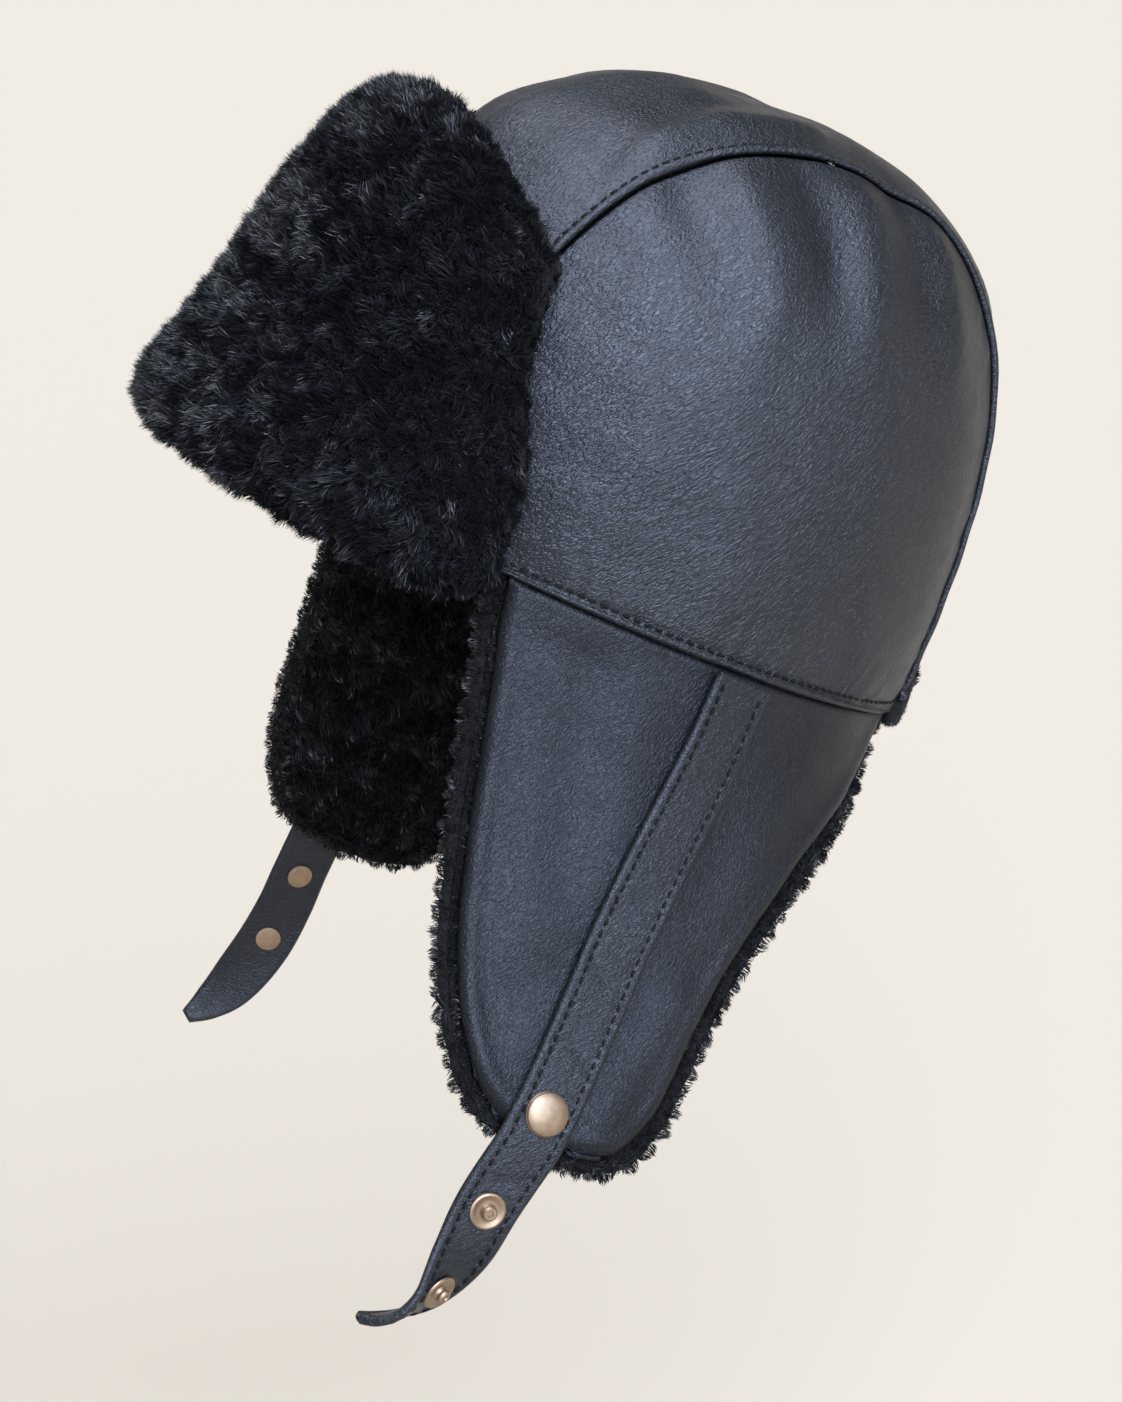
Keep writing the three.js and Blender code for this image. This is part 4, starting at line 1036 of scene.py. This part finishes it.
def turned(name, profile, seat):
    """A disc extruded step by step up a profile of (radius, height), then set on its seat."""
    bpy.ops.object.select_all(action="DESELECT")
    radius, height = profile[0]
    bpy.ops.mesh.primitive_circle_add(vertices=TURNED, radius=radius, fill_type="NGON",
                                      location=(0, 0, height))
    piece = bpy.context.object
    piece.name = piece.data.name = name
    bpy.ops.object.transform_apply(location=True)
    bpy.ops.object.mode_set(mode="EDIT")
    bpy.ops.mesh.select_all(action="SELECT")
    for next_radius, next_height in profile[1:]:
        bpy.ops.mesh.extrude_region_move(TRANSFORM_OT_translate={"value": (0, 0, next_height - height)})
        grow = next_radius / radius
        bpy.ops.transform.resize(value=(grow, grow, 1))
        radius, height = next_radius, next_height
    bpy.ops.mesh.select_all(action="SELECT")
    bpy.ops.mesh.normals_make_consistent(inside=False)
    bpy.ops.object.mode_set(mode="OBJECT")
    piece.data.transform(seat)
    bpy.ops.object.shade_smooth_by_angle(angle=math.radians(35))
    return piece


def seat_matrix(drop, side):
    middle, face, _, _, along = strap_frame(np.array([strap_place_at(drop, side)]), side)
    z, y = Vector(tipped(face)[0]), Vector(tipped(along)[0])
    x = y.cross(z).normalized()
    turn = Matrix((x, z.cross(x), z)).transposed()
    return Matrix.Translation(Vector(tipped(middle)[0])) @ turn.to_4x4()


def satin_nickel(name, light, dark):
    """Warm nickel plate, pressed and tumbled: fine dull scratches with a soft mirror between them."""
    material, shader = blank(name)
    coords = node(material, "ShaderNodeTexCoord").outputs["Object"]
    scratches = node(material, "ShaderNodeTexNoise", Vector=coords, Scale=1 / (0.5 * MM), Detail=4,
                     Roughness=0.7)
    clouds = node(material, "ShaderNodeTexNoise", Vector=coords, Scale=1 / (3 * MM), Detail=2)
    tone = ramp(material, clouds.outputs["Fac"], [(0.3, linear(dark)), (0.7, linear(light))])
    dull = ramp(material, scratches.outputs["Fac"], [(0.3, grey(0.45)), (0.7, grey(0.58))])
    worn = node(material, "ShaderNodeBump", Strength=0.06, Distance=0.1 * MM, Height=scratches.outputs["Fac"])
    plug(material, shader, Base_Color=tone.outputs["Color"], Roughness=dull.outputs["Color"], Metallic=1,
         Normal=worn.outputs[0])
    return material


nickel = satin_nickel("satin_nickel_plate", "#a18c76", "#8e7b68")
cap_profile = [(SNAP_SHANK, -FOOT), (SNAP_SHANK, FOOT + 0.1 * MM), (CAP_RADIUS * 0.9, FOOT + 0.15 * MM),
               (CAP_RADIUS, FOOT + 0.3 * MM), (CAP_RADIUS, FOOT + CAP_RIM),
               (CAP_RADIUS * 0.965, FOOT + CAP_RIM * 1.5)]
for share in (0.93, 0.85, 0.74, 0.6, 0.45, 0.3, 0.15, 0.01):
    dome = (CAP_HEIGHT - CAP_RIM) * math.sqrt(1 - share**2.2)
    cap_profile.append((CAP_RADIUS * share, FOOT + CAP_RIM * 1.3 + dome))

# Heights of the flange are in mm above the strap's face, and those of the post are shares of its own height
FLANGE = {
    "radius": (0.97, 1, 0.97, 0.88, 0.78, 0.66, 0.56),
    "height": (0.05, 0.35, 0.8, 1.05, 0.95, 0.55, 0.5),
}
POST = {
    "radius": (0.92, 0.84, 0.95, 1, 0.93, 0.75, 0.45, 0.35),
    "height": (0.3, 0.45, 0.62, 0.75, 0.9, 1, 1, 0.86),
}
stud_profile = [(STUD_RADIUS * 0.68, -FOOT - 0.8 * MM), (STUD_RADIUS * 0.78, -FOOT - 0.6 * MM),
                (STUD_RADIUS * 0.8, -FOOT - 0.05 * MM), (SNAP_SHANK, -FOOT), (SNAP_SHANK, FOOT)]
for radius, height in zip(FLANGE["radius"], FLANGE["height"]):
    stud_profile.append((STUD_RADIUS * radius, FOOT + height * MM))
stud_profile.append((POST_RADIUS * 1.08, FOOT + 0.55 * MM))
for radius, height in zip(POST["radius"], POST["height"]):
    stud_profile.append((POST_RADIUS * radius, FOOT + POST_HEIGHT * height))
for side in HAND:
    for kind, drop in SEAT.items():
        profile = cap_profile if kind == "cap" else stud_profile
        snap = turned(f"nickel_{kind}_{side}", profile, seat_matrix(drop, side))
        dress(snap, nickel, "snap_metal", f"snap_{kind}_{side}")

# Studio
# A wide pale floor that runs out of view, a pale haze along the horizon under a dim sky, a broad cool light
# from beside the camera and a weaker one from above, with the camera on a long lens.
FLOOR_DROP = 500 * MM
CAMERA_PLACE = (1.14173, -0.39312, 0.38596)
CAMERA_AZIMUTH = math.radians(71.29)
CAMERA_ELEVATION = math.radians(19.67)
CAMERA_LENS = 103.8
HAZE_TOP, HAZE_LEVEL = 0.16, 0.85
SKY_START, SKY_LEVEL = 0.3, 0.1
bpy.ops.object.select_all(action="DESELECT")
bpy.ops.mesh.primitive_plane_add(size=30, location=(0, 0, -FLOOR_DROP))
floor = bpy.context.object
floor.name = "studio_floor"
paper, paper_shader = blank("matt_paper")
plug(paper, paper_shader, Base_Color=linear("#aaa090"), Roughness=0.9, Specular_IOR_Level=0.1)
floor.data.materials.append(paper)

world = bpy.data.worlds.new("warm_white")
world.use_nodes = True
view = node(world, "ShaderNodeTexCoord").outputs["Generated"]
height = node(world, "ShaderNodeSeparateXYZ", Vector=view).outputs["Z"]
haze = ramp(world, height, [(HAZE_TOP, grey(HAZE_LEVEL)), (SKY_START, grey(SKY_LEVEL))])
plug(world, world.node_tree.nodes["Background"], Color=linear("#f3eadf"), Strength=haze.outputs["Color"])
bpy.context.scene.world = world


def soft_sun(name, azimuth, elevation, power, angle, colour):
    """Even light from a wide source, at an azimuth and elevation in degrees."""
    turn = (math.radians(90 - elevation), 0, math.radians(azimuth))
    bpy.ops.object.light_add(type="SUN", rotation=turn)
    light = bpy.context.object
    light.name = name
    light.data.energy = power
    light.data.angle = math.radians(angle)
    light.data.color = linear(colour)[:3]


soft_sun("key_light", 89, 35, 7.8, 50, "#dbe8ff")
soft_sun("top_light", -60, 78, 4, 50, "#eef3ff")

camera_turn = (math.pi / 2 - CAMERA_ELEVATION, 0, CAMERA_AZIMUTH)
bpy.ops.object.camera_add(location=CAMERA_PLACE, rotation=camera_turn)
camera = bpy.context.object
camera.data.sensor_width = 36
camera.data.lens = CAMERA_LENS
bpy.context.scene.camera = camera
bpy.context.scene.view_settings.view_transform = "Standard"
